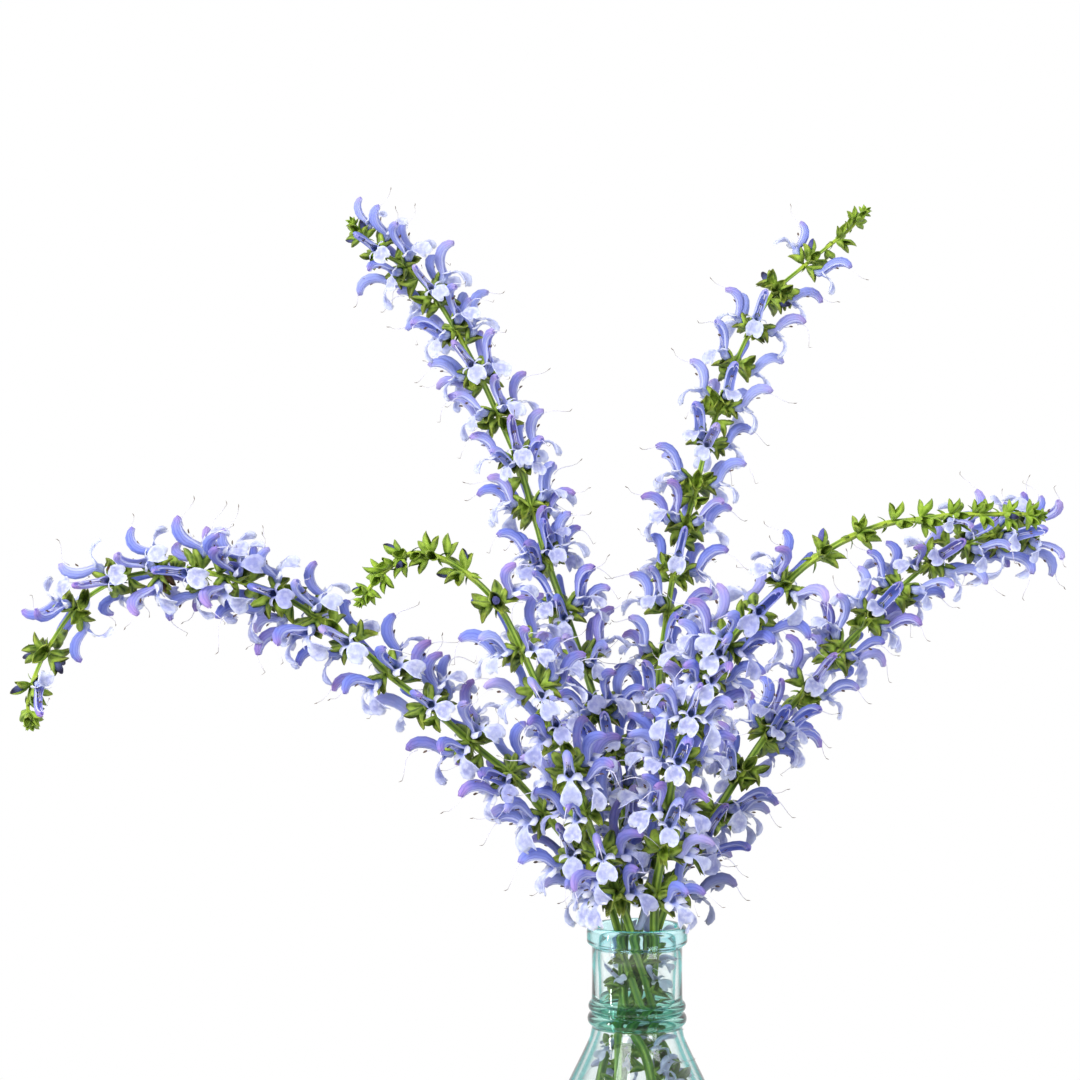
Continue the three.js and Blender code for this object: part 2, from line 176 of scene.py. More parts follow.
# Clearance balls of each kind of organ, in the flower's own frame: out, up, across, radius.
BALLS = {
    "flower": np.array([
        (3, 0.4, 0, 1.7), (6.5, 0.7, 0, 2.8), (10, 0.9, 0, 4.2), (12.5, 6, 0, 3),
        (14.4, 9.6, 0, 3), (18, 12.5, 0, 3), (21.6, 15, 0, 2.9), (24.8, 14, 0, 2.3),
        (27.3, 12.7, 0, 1.3), (14.5, 0.2, 0, 2.4), (17.8, 0.1, 0, 2), (20.5, -1.6, 0, 2.4),
        (22.3, -3.4, 2.6, 1.9), (22.3, -3.4, -2.6, 1.9), (22, -5.4, 0, 2.2), (21.6, -8, 0, 1.3),
    ]),
    "calyx": np.array([(3, 0.4, 0, 1.7), (6.5, 0.7, 0, 2.9), (9.4, 0.9, 0, 4.2)]),
    "leaf": np.array([(2, 0.2, 0, 1.5), (4.5, 0.2, 0, 1.8), (7.5, -0.8, 0, 0.9)]),
}
# A dried calyx keeps as much room as a flower.
BALLS["spent"] = BALLS["flower"]
# What is tried in turn at a place, for each kind that the rule draws.
CHOICES = {"flower": ["flower", "calyx"], "calyx": ["calyx"], "none": []}
# Turns tried in order, in degrees round the stem and up towards the tip, to clear a neighbour.
TRIES = [(0, 0), (12, 8), (-12, 8), (0, 16), (20, 12), (-20, 12), (0, -14), (0, 26)]


# Where everything grows

def chance(*keys):
    """A repeatable number from 0 to 1 for a list of whole-number keys."""
    state = 2463534242
    for key in keys:
        state = (state ^ key) % 2**32
        state = (state * 1664525 + 1013904223) % 2**32
        state ^= state >> 15
        state = (state * 1664525 + 1013904223) % 2**32
    return state / 2**32


def spread(amount, *keys):
    return amount * (2 * chance(*keys) - 1)


def unit(vector):
    return vector / np.linalg.norm(vector)


def stem_of(spike):
    """The sections of a stem, from its cut foot to its tip, each with its frame and width."""
    below = []
    for height, radius, turn in IN_BOTTLE:
        angle = math.radians(spike["leans"] + turn)
        below.append((radius * math.cos(angle), radius * math.sin(angle), height))
    points = np.array([*below, *spike["whorls"], spike["tip"]], dtype=float)
    last = len(points) - 1
    sections = []
    for i, at in enumerate(points):
        along = unit(points[min(i + 1, last)] - points[max(i - 1, 0)])
        depth = unit(np.array((0, 1, 0)) - along[1] * along)
        width = STEM_SIDE + (TIP_SIDE - STEM_SIDE) * (i / last) ** TAPER_POWER
        side = np.cross(along, depth)
        sections.append({"at": at, "along": along, "depth": depth, "side": side, "width": width})
    return sections


def turning(axis, degrees):
    """A rotation matrix in double precision, so that the growth rule repeats exactly."""
    c, s = math.cos(math.radians(degrees)), math.sin(math.radians(degrees))
    if axis == "X":
        return np.array(((1, 0, 0), (0, c, -s), (0, s, c)))
    if axis == "Y":
        return np.array(((c, 0, s), (0, 1, 0), (-s, 0, c)))
    return np.array(((c, -s, 0), (s, c, 0), (0, 0, 1)))


def placing(section, degrees, tip, swing, roll):
    """How an organ is turned: out of the stem at an angle round it, rolled, swung and tipped."""
    angle = math.radians(degrees)
    out = section["depth"] * math.cos(angle) + section["side"] * math.sin(angle)
    across = np.cross(out, section["along"])
    basis = np.column_stack((out, section["along"], across))
    return basis @ turning("X", roll) @ turning("Y", swing) @ turning("Z", tip)


def organ_of(kind, s, w, p, turned, at, size):
    """An organ, with its clearance balls as rows: place, radius, spike, and 1 on the stalk."""
    balls = BALLS[kind]
    places = balls[:, :3] @ (turned.T * size) + at
    stalk = balls[:, 0] < STALK_REACH
    rows = np.column_stack((places, balls[:, 3] * size, np.full(len(balls), s), stalk))
    return {"kind": kind, "spike": s, "whorl": w, "place": p,
            "turned": turned, "at": at, "size": size, "balls": rows}


def clear_of_bottle(rows, ease=1):
    """Whether balls, their radius eased, stay clear of the bottle's mouth."""
    out = np.hypot(rows[:, 0], rows[:, 1])
    beyond = np.maximum(np.maximum(NECK_RADIUS - WALL - out, out - LIP_RADIUS), 0)
    above = np.maximum(rows[:, 2] - HEIGHT, 0)
    return bool(np.all(np.hypot(beyond, above) > rows[:, 3] * ease + CLEARANCE))


def is_clear(rows, taken, ease=1):
    """Whether an organ's balls, their radius eased, stay clear of all the balls taken."""
    same = taken[:, 4] == rows[0, 4]
    touch = rows[:, None, 3] * ease + taken[None, :, 3]
    apart = np.where(same[None, :], NESTLE * touch, touch + CLEARANCE)
    skipped = same[None, :] & ((taken[None, :, 5] > 0) | (rows[:, None, 5] > 0))
    gap = rows[:, None, :3] - taken[None, :, :3]
    return not bool(np.any(((gap**2).sum(axis=2) < apart**2) & ~skipped))


def kind_at(spike, s, w, p):
    draw = chance(s, w, p, 5)
    if w >= spike["in_flower"]:
        return "calyx" if draw < GREEN_SHARE else "none"
    last = w == spike["in_flower"] - 1
    flowers = FLOWER_SHARE / 2 if last else FLOWER_SHARE
    if draw < flowers:
        return "flower"
    return "calyx" if draw < flowers + CALYX_SHARE or last else "none"


def size_at(spike, s, w, p, kind):
    foot, loss, stray = FLOWER_SIZE if kind == "flower" else CALYX_SIZE
    up = w / spike["in_flower"]
    if kind != "flower":
        up = max(w - spike["in_flower"] + 1, 0) / (len(spike["whorls"]) - spike["in_flower"] + 1)
    return foot - loss * up + spread(stray, s, w, p, 6)


def organ_at(stem, s, w, p, kind, size, taken):
    """What grows at place p of whorl w on spike s, or nothing if no try is clear of the rest."""
    section = stem[w + len(IN_BOTTLE)]
    after = stem[w + len(IN_BOTTLE) + 1]
    rise = STALK_RISE + STALK_STAGGER * ((2 * p) % PLACES - 2)
    step = after["at"] - section["at"]
    at = section["at"] + step * (rise / np.linalg.norm(step))
    degrees = TURN * w + (360 / PLACES) * p + spread(STRAY_ROUND, s, w, p, 1)
    tip = LIFT + spread(STRAY_TIP, s, w, p, 2)
    swing = spread(STRAY_SWING, s, w, p, 3)
    roll = spread(STRAY_ROLL, s, w, p, 4)
    for around, up in TRIES:
        turned = placing(section, degrees + around, tip + up, swing, roll)
        organ = organ_of(kind, s, w, p, turned, at, size)
        if clear_of_bottle(organ["balls"]) and is_clear(organ["balls"], taken):
            return organ
    return None


def stem_balls(stem, s):
    rows = []
    for here, after in zip(stem, stem[1:]):
        steps = math.ceil(np.linalg.norm(after["at"] - here["at"]) / STEM_STEP)
        for k in range(steps):
            at = here["at"] + (after["at"] - here["at"]) * (k / steps)
            rows.append((*at, here["width"] * STEM_BALL, s, 0))
    return rows


def balls_of(stems, organs):
    """The clearance balls of all the stems and organs, a row for each."""
    rows = [row for s, stem in enumerate(stems) for row in stem_balls(stem, s)]
    return np.vstack((np.array(rows), *(organ["balls"] for spike in organs for organ in spike)))


def grow_spikes():
    """All spikes grow together, a whorl at a time from the mouth up, and share the room."""
    stems = [stem_of(spike) for spike in SPIKES]
    organs = [[] for spike in SPIKES]
    taken = balls_of(stems, organs)
    for w in range(max(len(spike["whorls"]) for spike in SPIKES)):
        for s, spike in enumerate(SPIKES):
            for p in range(PLACES if w < len(spike["whorls"]) else 0):
                for kind in CHOICES[kind_at(spike, s, w, p)]:
                    size = size_at(spike, s, w, p, kind)
                    grown = organ_at(stems[s], s, w, p, kind, size, taken)
                    if grown:
                        organs[s].append(grown)
                        taken = np.vstack((taken, grown["balls"]))
                        break
    return stems, organs


# More flowers and calyxes, in the gaps that the rule above leaves at the whorls. Each spike has
# its share of places with a flower, which fades over its last whorls in flower.
CROWD_FLOWERS = [0.55, 1.0, 0.95, 0.05, 0.95, 0.85]
CROWD_ROUNDS = 2
CROWD_FADE = 4
CROWD_CALYXES = 0.4
CROWD_YOUNG = 0.12
CROWD_SIZE = (0.95, 0.1)
CROWD_EASE = 0.5
CROWD_SLIDE = 7
CROWD_MARGIN = 1
CROWD_TIP = 26
CROWD_ROLL = 34
# None of them hangs over the bottle's lip.
CROWD_LOWEST = 228

# Single flowers above the rest, and dried calyxes on the arch: kind, spike, whorl, degrees
# round the stem, tip up and size.
STRAYS = [
    ("flower", 3, 15, 250, 12, 0.86),
    ("flower", 3, 15, 95, 4, 0.82),
    ("flower", 3, 14, 280, 8, 0.9),
    ("flower", 4, 13, 200, 10, 0.6),
    ("flower", 1, 16, 238, 26, 0.74),
    ("flower", 0, 16, 150, 0, 0.8),
    ("spent", 0, 13, 235, 38, 0.8),
    ("spent", 0, 13, 215, 62, 0.75),
    ("spent", 0, 12, 118, -12, 0.8),
]
# The first place number of the strays, and of what grows inside the bottle.
STRAY_PLACES = 15
INSIDE_PLACES = 25

# Inside the bottle: how many of each kind are tried, and the least and most height, tip up,
# roll and size. The ease is the share of a ball kept clear of other balls, and the push the
# share kept clear of the glass.
INSIDE_TRIES = [("flower", 700), ("leaf", 30), ("calyx", 60)]
INSIDE_HEIGHTS = (140, 214)
INSIDE_TIPS = (-30, 70)
INSIDE_ROLLS = (-40, 40)
INSIDE_SIZES = {"flower": (0.52, 0.78), "calyx": (0.75, 1.0), "leaf": (1.2, 1.7)}
INSIDE_EASE = 0.2
INSIDE_PUSH = 0.8
INSIDE_MARGIN = 0.4
# No flower stands behind the two beads, which would blur it.
BEADS_HEIGHT = 178
BEADS_HALF = 7


def crowd(stems, organs):
    """Adds flowers and calyxes between the places of each whorl, where they nearly fit."""
    taken = balls_of(stems, organs)
    for s, spike in enumerate(SPIKES):
        for w in range(len(spike["whorls"])):
            share = CROWD_FLOWERS[s] * min((spike["in_flower"] - 1 - w) / CROWD_FADE, 1)
            green = CROWD_CALYXES if w < spike["in_flower"] else CROWD_YOUNG
            for p in range(CROWD_ROUNDS * PLACES):
                kinds = []
                if chance(s, w, p, 30) < share:
                    kinds.append("flower")
                if chance(s, w, p, 36) < green:
                    kinds.append("calyx")
                for kind in kinds:
                    organ = crowded(stems[s], s, w, p, kind, taken)
                    if organ:
                        organs[s].append(organ)
                        taken = np.vstack((taken, organ["balls"]))
                        break


def crowded(stem, s, w, p, kind, taken):
    """An organ between two places of a whorl, a little above or below it, if it nearly fits."""
    section = stem[w + len(IN_BOTTLE)]
    at = section["at"] + section["along"] * spread(CROWD_SLIDE, s, w, p, 31)
    degrees = TURN * (w + 1) + 360 / PLACES * p + spread(STRAY_ROUND, s, w, p, 32)
    tip = spread(CROWD_TIP, s, w, p, 33)
    turned = placing(section, degrees, tip, 0, spread(CROWD_ROLL, s, w, p, 34))
    size = size_at(SPIKES[s], s, w, p, kind) * (CROWD_SIZE[0] + spread(CROWD_SIZE[1], s, w, p, 35))
    organ = organ_of(kind, s, w, p + PLACES, turned, at, size)
    rows = organ["balls"]
    inside = all(in_bounds(place * MM, CROWD_MARGIN) for place in rows[:, :3])
    fits = clear_of_bottle(rows, CROWD_EASE) and is_clear(rows, taken, CROWD_EASE)
    return organ if inside and fits and rows[:, 2].min() >= CROWD_LOWEST else None


def add_strays(stems, organs):
    """Adds the single flowers and dried calyxes, whose stalks keep their room too."""
    for number, (kind, s, w, degrees, tip, size) in enumerate(STRAYS):
        section = stems[s][w + len(IN_BOTTLE)]
        turned = placing(section, degrees, tip, 0, spread(STRAY_ROLL, s, w, number, 37))
        organ = organ_of(kind, s, w, STRAY_PLACES + number, turned, section["at"], size)
        organ["balls"][:, 5] = 0
        organs[s].append(organ)


def in_bounds(place, margin):
    """Whether a place in metres is in the space of the whole, or at most a margin outside."""
    low, high = cad_box
    return all(a - margin * MM < x < b + margin * MM for a, x, b in zip(low, place, high))


def place_at_height(stem, height):
    """Where a stem inside the bottle passes a height."""
    for low, high in zip(stem, stem[1:]):
        share = (height - low["at"][2]) / (high["at"][2] - low["at"][2])
        if share <= 1:
            return low["at"] + (high["at"] - low["at"]) * share
    return stem[-1]["at"]


def room_at(height):
    """The bottle's inner radius at heights in its shoulder and neck."""
    radii, heights = zip(*reversed([NECK_FOOT, *SHOULDER]))
    return np.interp(height, heights, radii)


def between_two(limits, *keys):
    return limits[0] + (limits[1] - limits[0]) * chance(*keys)


def fill_bottle(stems, organs):
    """Flowers, calyxes and leaves on the stems inside the neck and the shoulder."""
    taken = balls_of(stems, organs)
    kinds = [kind for kind, count in INSIDE_TRIES for k in range(count)]
    for number, kind in enumerate(kinds):
        s = number % len(SPIKES)
        at = place_at_height(stems[s], between_two(INSIDE_HEIGHTS, s, number, 41))
        angle = 2 * math.pi * chance(s, number, 42)
        out = np.array((math.cos(angle), math.sin(angle), 0))
        up = np.array((0.0, 0.0, 1.0))
        turned = np.column_stack((out, up, np.cross(out, up)))
        turned = turned @ turning("X", between_two(INSIDE_ROLLS, s, number, 43))
        turned = turned @ turning("Z", between_two(INSIDE_TIPS, s, number, 44))
        size = between_two(INSIDE_SIZES[kind], s, number, 45)
        organ = organ_of(kind, s, 0, INSIDE_PLACES + number, turned, at, size)
        rows = organ["balls"]
        reach = np.hypot(rows[:, 0], rows[:, 1]) + rows[:, 3] * INSIDE_PUSH + INSIDE_MARGIN
        if np.any(reach > room_at(rows[:, 2])):
            continue
        if kind == "flower" and np.any(abs(rows[:, 2] - BEADS_HEIGHT) < BEADS_HALF):
            continue
        if is_clear(rows, taken, INSIDE_EASE):
            taken = np.vstack((taken, rows))
            organs[s].append(organ)


# Modelling helpers

def leave_edit_mode():
    if bpy.context.object and bpy.context.object.mode == "EDIT":
        bpy.ops.object.mode_set(mode="OBJECT")


def deselect_all():
    leave_edit_mode()
    bpy.ops.object.select_all(action="DESELECT")


def make_active(piece):
    deselect_all()
    piece.select_set(True)
    bpy.context.view_layer.objects.active = piece


def new_object(name, data):
    made = bpy.data.objects.new(name, data)
    bpy.context.scene.collection.objects.link(made)
    return made


def new_piece(name):
    """An empty mesh in edit mode, ready to be modelled."""
    piece = new_object(name, bpy.data.meshes.new(name))
    make_active(piece)
    bpy.ops.object.mode_set(mode="EDIT")
    bpy.ops.mesh.select_mode(type="VERT")
    return piece


def add_ring(count, ring, z=0, filled=False):
    """A ring of corners round the flower's x axis, added to the mesh in edit mode."""
    x, y, lean, width, depth = ring
    fill = "NGON" if filled else "NOTHING"
    bpy.ops.mesh.primitive_circle_add(
        vertices=count, radius=1, rotation=(0, math.pi / 2, 0), fill_type=fill
    )
    resize((1, depth, width))
    rotate(lean, (0, 0, 0))
    bpy.ops.transform.translate(value=(x, y, z))


def choose(test):
    """Selects the corners of the mesh in edit mode whose place passes the test."""
    mesh = bmesh.from_edit_mesh(bpy.context.object.data)
    for corner in mesh.verts:
        corner.select_set(False)
    mesh.select_flush_mode()
    for corner in mesh.verts:
        corner.select_set(bool(test(corner.co)))
    mesh.select_flush_mode()
    bmesh.update_edit_mesh(bpy.context.object.data)


def stamp(name, value):
    """Writes a number on the chosen corners, which what is drawn out of them inherits."""
    mesh = bmesh.from_edit_mesh(bpy.context.object.data)
    layer = mesh.verts.layers.float.get(name) or mesh.verts.layers.float.new(name)
    for corner in mesh.verts:
        if corner.select:
            corner[layer] = value(corner.co) if callable(value) else value
    bmesh.update_edit_mesh(bpy.context.object.data)


def choose_all():
    bpy.ops.mesh.select_all(action="SELECT")


def middle_of_chosen():
    mesh = bmesh.from_edit_mesh(bpy.context.object.data)
    places = [corner.co for corner in mesh.verts if corner.select]
    return tuple(sum(places, Vector()) / len(places))


def rotate(degrees, centre, axis="Z"):
    """Turns the chosen corners. With no window the operator turns the other way."""
    bpy.ops.transform.rotate(
        value=-math.radians(degrees), orient_axis=axis, center_override=centre
    )


def resize(scale, centre=(0, 0, 0)):
    bpy.ops.transform.resize(value=scale, center_override=centre)


def extrude(move):
    bpy.ops.mesh.extrude_region_move(TRANSFORM_OT_translate={"value": move})


def draw_out(start, rings, z=0, **stamps):
    """Extrudes the chosen corners through rings of (x, y, lean, half width, half depth)."""
    x0, y0, lean0, width0, depth0 = start
    for number, (x, y, lean, width, depth) in enumerate(rings, 1):
        extrude((x - x0, y - y0, 0))
        centre = (x, y, z)
        rotate(-lean0, centre)
        resize((1, depth / depth0, width / width0), centre)
        rotate(lean, centre)
        for name, (first, last) in stamps.items():
            stamp(name, first + (last - first) * number / len(rings))
        x0, y0, lean0, width0, depth0 = x, y, lean, width, depth


def draw_tip(moves, side=1, **stamps):
    """Extrudes the chosen corners by moves of (move, scale), each scaled about its middle."""
    for (x, y, z), scale in moves:
        extrude((x, y, z * side))
        resize((scale,) * 3, middle_of_chosen())
        for name, value in stamps.items():
            stamp(name, value)


def close_up(piece):
    """Merges doubles and points the faces of a closed mesh outwards."""
    choose_all()
    bpy.ops.mesh.remove_doubles(threshold=0.01)
    bpy.ops.mesh.normals_make_consistent(inside=False)
    leave_edit_mode()
    bpy.ops.object.shade_smooth()
    return piece


def thicken(piece, thickness):
    """Gives a sheet its thickness, evenly on both sides."""
    close_up(piece)
    solid = piece.modifiers.new("thickness", "SOLIDIFY")
    solid.thickness = thickness
    solid.offset = 0
    solid.use_quality_normals = True
    bpy.ops.object.modifier_apply(modifier=solid.name)
    return piece


def keep_shape(piece, finish):
    """Leaves only the mesh of a finished shape, which is copied wherever it grows."""
    leave_edit_mode()
    shape = piece.data
    shape.materials.append(finish)
    bpy.data.objects.remove(piece)
    return shape


def write_numbers(mesh, name, values):
    """Writes a number on each corner of a finished mesh."""
    layer = mesh.attributes.get(name) or mesh.attributes.new(name, "FLOAT", "POINT")
    layer.data.foreach_set("value", values)


def plant(shape, matrix, **numbers):
    """A copy of a shape with its own mesh, turned and placed, with its own numbers."""
    mesh = shape.copy()
    mesh.transform(matrix)
    for name, value in numbers.items():
        write_numbers(mesh, name, np.full(len(mesh.vertices), value, dtype=np.float32))
    return new_object(shape.name, mesh)


def join(name, parts):
    """Joins planted copies into one piece, whose object stays at the origin."""
    deselect_all()
    for part in parts:
        part.select_set(True)
    bpy.context.view_layer.objects.active = parts[0]
    bpy.ops.object.join()
    piece = bpy.context.object
    piece.name = name
    piece.data.name = name
    return piece


# Shader sums, written as expressions

class Value:
    """A shader socket that can be added, multiplied and so on."""

    def __init__(self, finish, socket):
        self.finish = finish
        self.socket = socket

    def sum(self, operation, *others, turned=False):
        terms = (*others, self) if turned else (self, *others)
        return self.finish.node("Math", {"operation": operation}, dict(enumerate(terms)))

    def __add__(self, other):
        return self.sum("ADD", other)

    __radd__ = __add__

    def __sub__(self, other):
        return self.sum("SUBTRACT", other)

    def __rsub__(self, other):
        return self.sum("SUBTRACT", other, turned=True)

    def __mul__(self, other):
        return self.sum("MULTIPLY", other)

    __rmul__ = __mul__

    def __truediv__(self, other):
        return self.sum("DIVIDE", other)

    def __pow__(self, other):
        return self.sum("POWER", other)

    def size(self):
        return self.sum("ABSOLUTE")

    def wave(self):
        return self.sum("SINE")

    def held(self):
        """The value kept from 0 to 1."""
        return self.sum("MAXIMUM", 0.0).sum("MINIMUM", 1.0)

    def step(self, low, high):
        """0 below low, 1 above high, and smooth between."""
        settings = {"interpolation_type": "SMOOTHSTEP"}
        inputs = {"Value": self, "From Min": low, "From Max": high}
        return self.finish.node("MapRange", settings, inputs)


class Finish:
    """A material and its nodes."""

    def __init__(self, name):
        self.material = bpy.data.materials.new(name)
        self.material.use_nodes = True
        self.nodes = self.material.node_tree.nodes
        self.links = self.material.node_tree.links
        self.nodes.clear()

    def node(self, kind, settings=None, inputs=None, output=0):
        """A node of a kind, its settings made first, then its sockets' values or links."""
        made = self.nodes.new("ShaderNode" + kind)
        for name, value in (settings or {}).items():
            setattr(made, name, value)
        for key, value in (inputs or {}).items():
            socket = made.inputs[key]
            if isinstance(value, Value):
                self.links.new(value.socket, socket)
            else:
                socket.default_value = value
        return Value(self, made.outputs[output])

    def number(self, name):
        """A number stamped on the mesh's corners."""
        return self.node("Attribute", {"attribute_name": name}, output="Fac")

    def numbers(self, *names):
        return [self.number(name) for name in names]

    def height(self):
        """The height above the bottle's base, in metres."""
        place = self.node("TexCoord", output="Object")
        return self.node("SeparateXYZ", {}, {0: place}, output="Z")

    def mix(self, share, first, second):
        settings = {"data_type": "RGBA", "clamp_factor": True}
        return self.node("Mix", settings, {0: share, 6: first, 7: second}, output=2)

    def noise(self, scale, detail):
        place = self.node("TexCoord", output="Object")
        return self.node("TexNoise", {}, {"Vector": place, "Scale": scale, "Detail": detail})

    def bump(self, height, distance, strength):
        inputs = {"Height": height, "Distance": distance, "Strength": strength}
        return self.node("Bump", {}, inputs)

    def finish(self, surface, volume=None):
        output = self.nodes.new("ShaderNodeOutputMaterial")
        self.links.new(surface.socket, output.inputs["Surface"])
        if volume:
            self.links.new(volume.socket, output.inputs["Volume"])
        return self.material


def colour(red, green, blue):
    """A colour given in the 0 to 255 of a screen, as the shader's linear colour."""
    parts = [part / 255 for part in (red, green, blue)]
    linear = [p / 12.92 if p <= 0.04045 else ((p + 0.055) / 1.055) ** 2.4 for p in parts]
    return (*linear, 1.0)


def leafy(paint, base, roughness, normal, seen_through, through):
    """A soft surface that lets some light through: base colour, and the share and colour of it."""
    inputs = {"Base Color": base, "Roughness": roughness, "Normal": normal}
    surface = paint.node("BsdfPrincipled", {}, inputs)
    light = paint.node("BsdfTranslucent", {}, {"Color": through, "Normal": normal})
    return paint.node("MixShader", {}, {0: seen_through, 1: surface, 2: light})


def petal_finish():
    """Violet-blue hoods with paler flanks, streaks and pinkish tips, and almost white lips, with
    painted highlights along the rims of the hood and the lip, some painted shade in the lip's
    hollow and on the petals low and far back, and painted light on the petals in the bottle.
    """
    paint = Finish("petals")
    reach, around, lip, tint, shade = paint.numbers("reach", "around", "lip", "tint", "shade")
    cloud = paint.noise(260.0, 3.0)
    fine = paint.noise(1400.0, 2.0)
    fold = around / HOOD_EDGE
    across = (1.0 - around) / (1 - HOOD_EDGE)
    lilac = (tint * 1.1 + cloud - 0.95).step(0.0, 0.8)
    hood = paint.mix(lilac, colour(152, 168, 236), colour(186, 175, 232))
    flank = (fold * 1.3 + cloud - 0.85).held()
    hood = paint.mix(flank * 0.6, hood, colour(200, 206, 244))
    far = (reach - 0.78 + tint * 0.24).step(0.05, 0.34)
    hood = paint.mix(far * 0.5, hood, colour(204, 150, 208))
    # Painted highlight: a near-white line along the hood's lower edges, standing in for light
    # caught on its rim.
    hood = paint.mix((fold - 0.84).step(0.0, 0.12) * 0.8, hood, colour(232, 236, 254))
    pale = (reach * 1.5 + cloud * 0.4).step(0.45, 1.1)
    lower = paint.mix(pale, colour(152, 168, 230), colour(233, 237, 253))
    # The lip's centre turns lilac-grey: partly its own colour, partly painted shade in the hollow
    # of the cupped lip.
    heart = ((reach - 0.74).size() * 5.0 + across * 1.3 + cloud * 0.8 - 0.3).step(0.35, 1.4)
    lower = paint.mix(heart, colour(192, 195, 230), lower)
    mottle = paint.noise(460.0, 2.0)
    lower = paint.mix(mottle.step(0.45, 0.7) * pale * 0.6, lower, colour(248, 249, 255))
    lower = paint.mix((0.5 - mottle).step(0.03, 0.2) * 0.5, lower, colour(158, 170, 214))
    # Painted highlight: a white rim round the lip's edge, where light catches it.
    margin = ((across - 0.74).step(0.0, 0.18) + (reach - 0.93).step(0.0, 0.06)).held()
    lower = paint.mix(margin, lower, colour(254, 254, 255))
    base = paint.mix(lip, hood, lower)
    streaks = ((around * 34.0 + cloud * 5.0).wave() * 0.5 + 0.5) ** 3.0
    base = paint.mix(streaks * (0.4 - lip * 0.28), base, colour(92, 92, 204))
    base = paint.mix((0.4 - reach * 2.0).held() * 1.6, base, colour(156, 184, 200))
    base = paint.mix(shade.step(0.55, 1.0) * 0.34, base, colour(106, 114, 196))
    base = paint.mix((1.0 - shade).step(0.55, 1.0) * 0.4, base, colour(222, 228, 252))
    # Painted shade: petals low in the bouquet and on its far side are darkened to slate, where
    # they lie in shadow.
    base = paint.mix(paint.number("painted_shade") * 0.65, base, colour(90, 98, 142))
    # Painted light: petals inside the bottle are whitened, standing in for the lamp light that the
    # glass keeps from them.
    base = paint.mix(paint.number("inside") * 0.75, base, colour(232, 240, 252))
    dark = paint.mix((tint * 2.4 - 1.2).held(), colour(36, 30, 60), colour(112, 114, 196))
    base = paint.mix(paint.number("bud") * (reach * 1.6).held(), base, dark)
    normal = paint.bump(streaks * 0.6 + fine * 0.5 + mottle * lip * 1.5, 0.0003, 0.6)
    roughness = 0.5 + cloud * 0.2
    glow = paint.mix(0.25, base, colour(236, 238, 250))
    return paint.finish(leafy(paint, base, roughness, normal, 0.6, glow))


def greenery_finish():
    """Yellow-green stems with painted shade in their grooves and a painted deeper green in the
    bottle that stands in for the light seen through the aqua glass, and ribbed calyxes, brown
    where they are spent.
    """
    paint = Finish("greenery")
    reach, rib, leaf = paint.numbers("reach", "rib", "leaf")
    young, spent, joint = paint.numbers("young", "spent", "joint")
    cloud = paint.noise(180.0, 3.0)
    fine = paint.noise(1500.0, 3.0)
    ridge = paint.number("ridge")
    stem = paint.mix((cloud * 1.3 - 0.15).held(), colour(110, 145, 42), colour(166, 190, 84))
    # Painted shade: the stem's grooves are darkened to deep green, and its four edges keep the
    # lighter green.
    stem = paint.mix((1.0 - ridge) * 0.9, stem, colour(28, 70, 0))
    stem = paint.mix(joint * 0.7, stem, colour(168, 186, 60))
    blade = paint.mix((cloud * 3.0 - 1.2).held(), colour(26, 62, 6), colour(162, 193, 68))
    blade = paint.mix(rib * 0.45, blade, colour(186, 208, 96))
    blade = paint.mix(young * 0.4, blade, colour(138, 176, 44))
    brown = ((reach - 0.72) * 2.4 + cloud * 0.9 - 0.55).held()
    blade = paint.mix(brown * (0.5 - young * 0.3), blade, colour(120, 84, 36))
    blade = paint.mix(spent * (0.75 + fine * 0.25), blade, colour(84, 40, 34))
    base = paint.mix(leaf, stem, blade)
    base = paint.mix(fine.step(0.5, 0.8) * 0.24, base, colour(22, 54, 2))
    # Painted tint: stems in the bottle are darker and greener, standing in for the light seen
    # through the aqua glass.
    in_bottle = 1.0 - paint.height().step(*AT_MOUTH)
    base = paint.mix(in_bottle * 0.42, base, colour(36, 118, 24))
    normal = paint.bump(fine + rib * 0.4, 0.0003, 0.6)
    roughness = 0.42 + cloud * 0.16
    share = leaf * 0.16
    return paint.finish(leafy(paint, base, roughness, normal, share, base))


def thread_finish():
    """Pale styles that darken to brownish tips, with brown anthers."""
    paint = Finish("styles")
    tip = paint.number("tip")
    cloud = paint.noise(900.0, 2.0)
    base = paint.mix((cloud * 1.2 - 0.1).held(), colour(246, 246, 252), colour(210, 206, 234))
    base = paint.mix((tip - 0.45).step(0.0, 0.5), base, colour(104, 84, 74))
    normal = paint.bump(cloud, 0.0001, 0.4)
    return paint.finish(leafy(paint, base, 0.5 + cloud * 0.1, normal, 0.25, base))


# Heights in metres over which the glass's painted tint changes, and, at the mouth, those over
# which the stems lose their painted green, which stands in for the light seen through the aqua
# glass.
BELOW_BEADS = (0.1705, 0.173)
ABOVE_BEADS = (0.1835, 0.186)
AT_LIP = (0.2126, 0.2142)
AT_MOUTH = (0.19, 0.225)
# Painted tints of the glass: clear, a deeper aqua on the lip, dark green on the beads and dark
# teal where the wall is seen edge on, standing in for light that crosses more glass and, on the
# beads, for dark leaves seen through them.
CLEAR_GLASS = (0.98, 1.0, 1.0, 1)
LIP_GLASS = (0.68, 0.91, 0.94, 1)
BEAD_GLASS = (0.28, 0.6, 0.49, 1)
EDGE_GLASS = (0.0, 0.2, 0.19, 1)


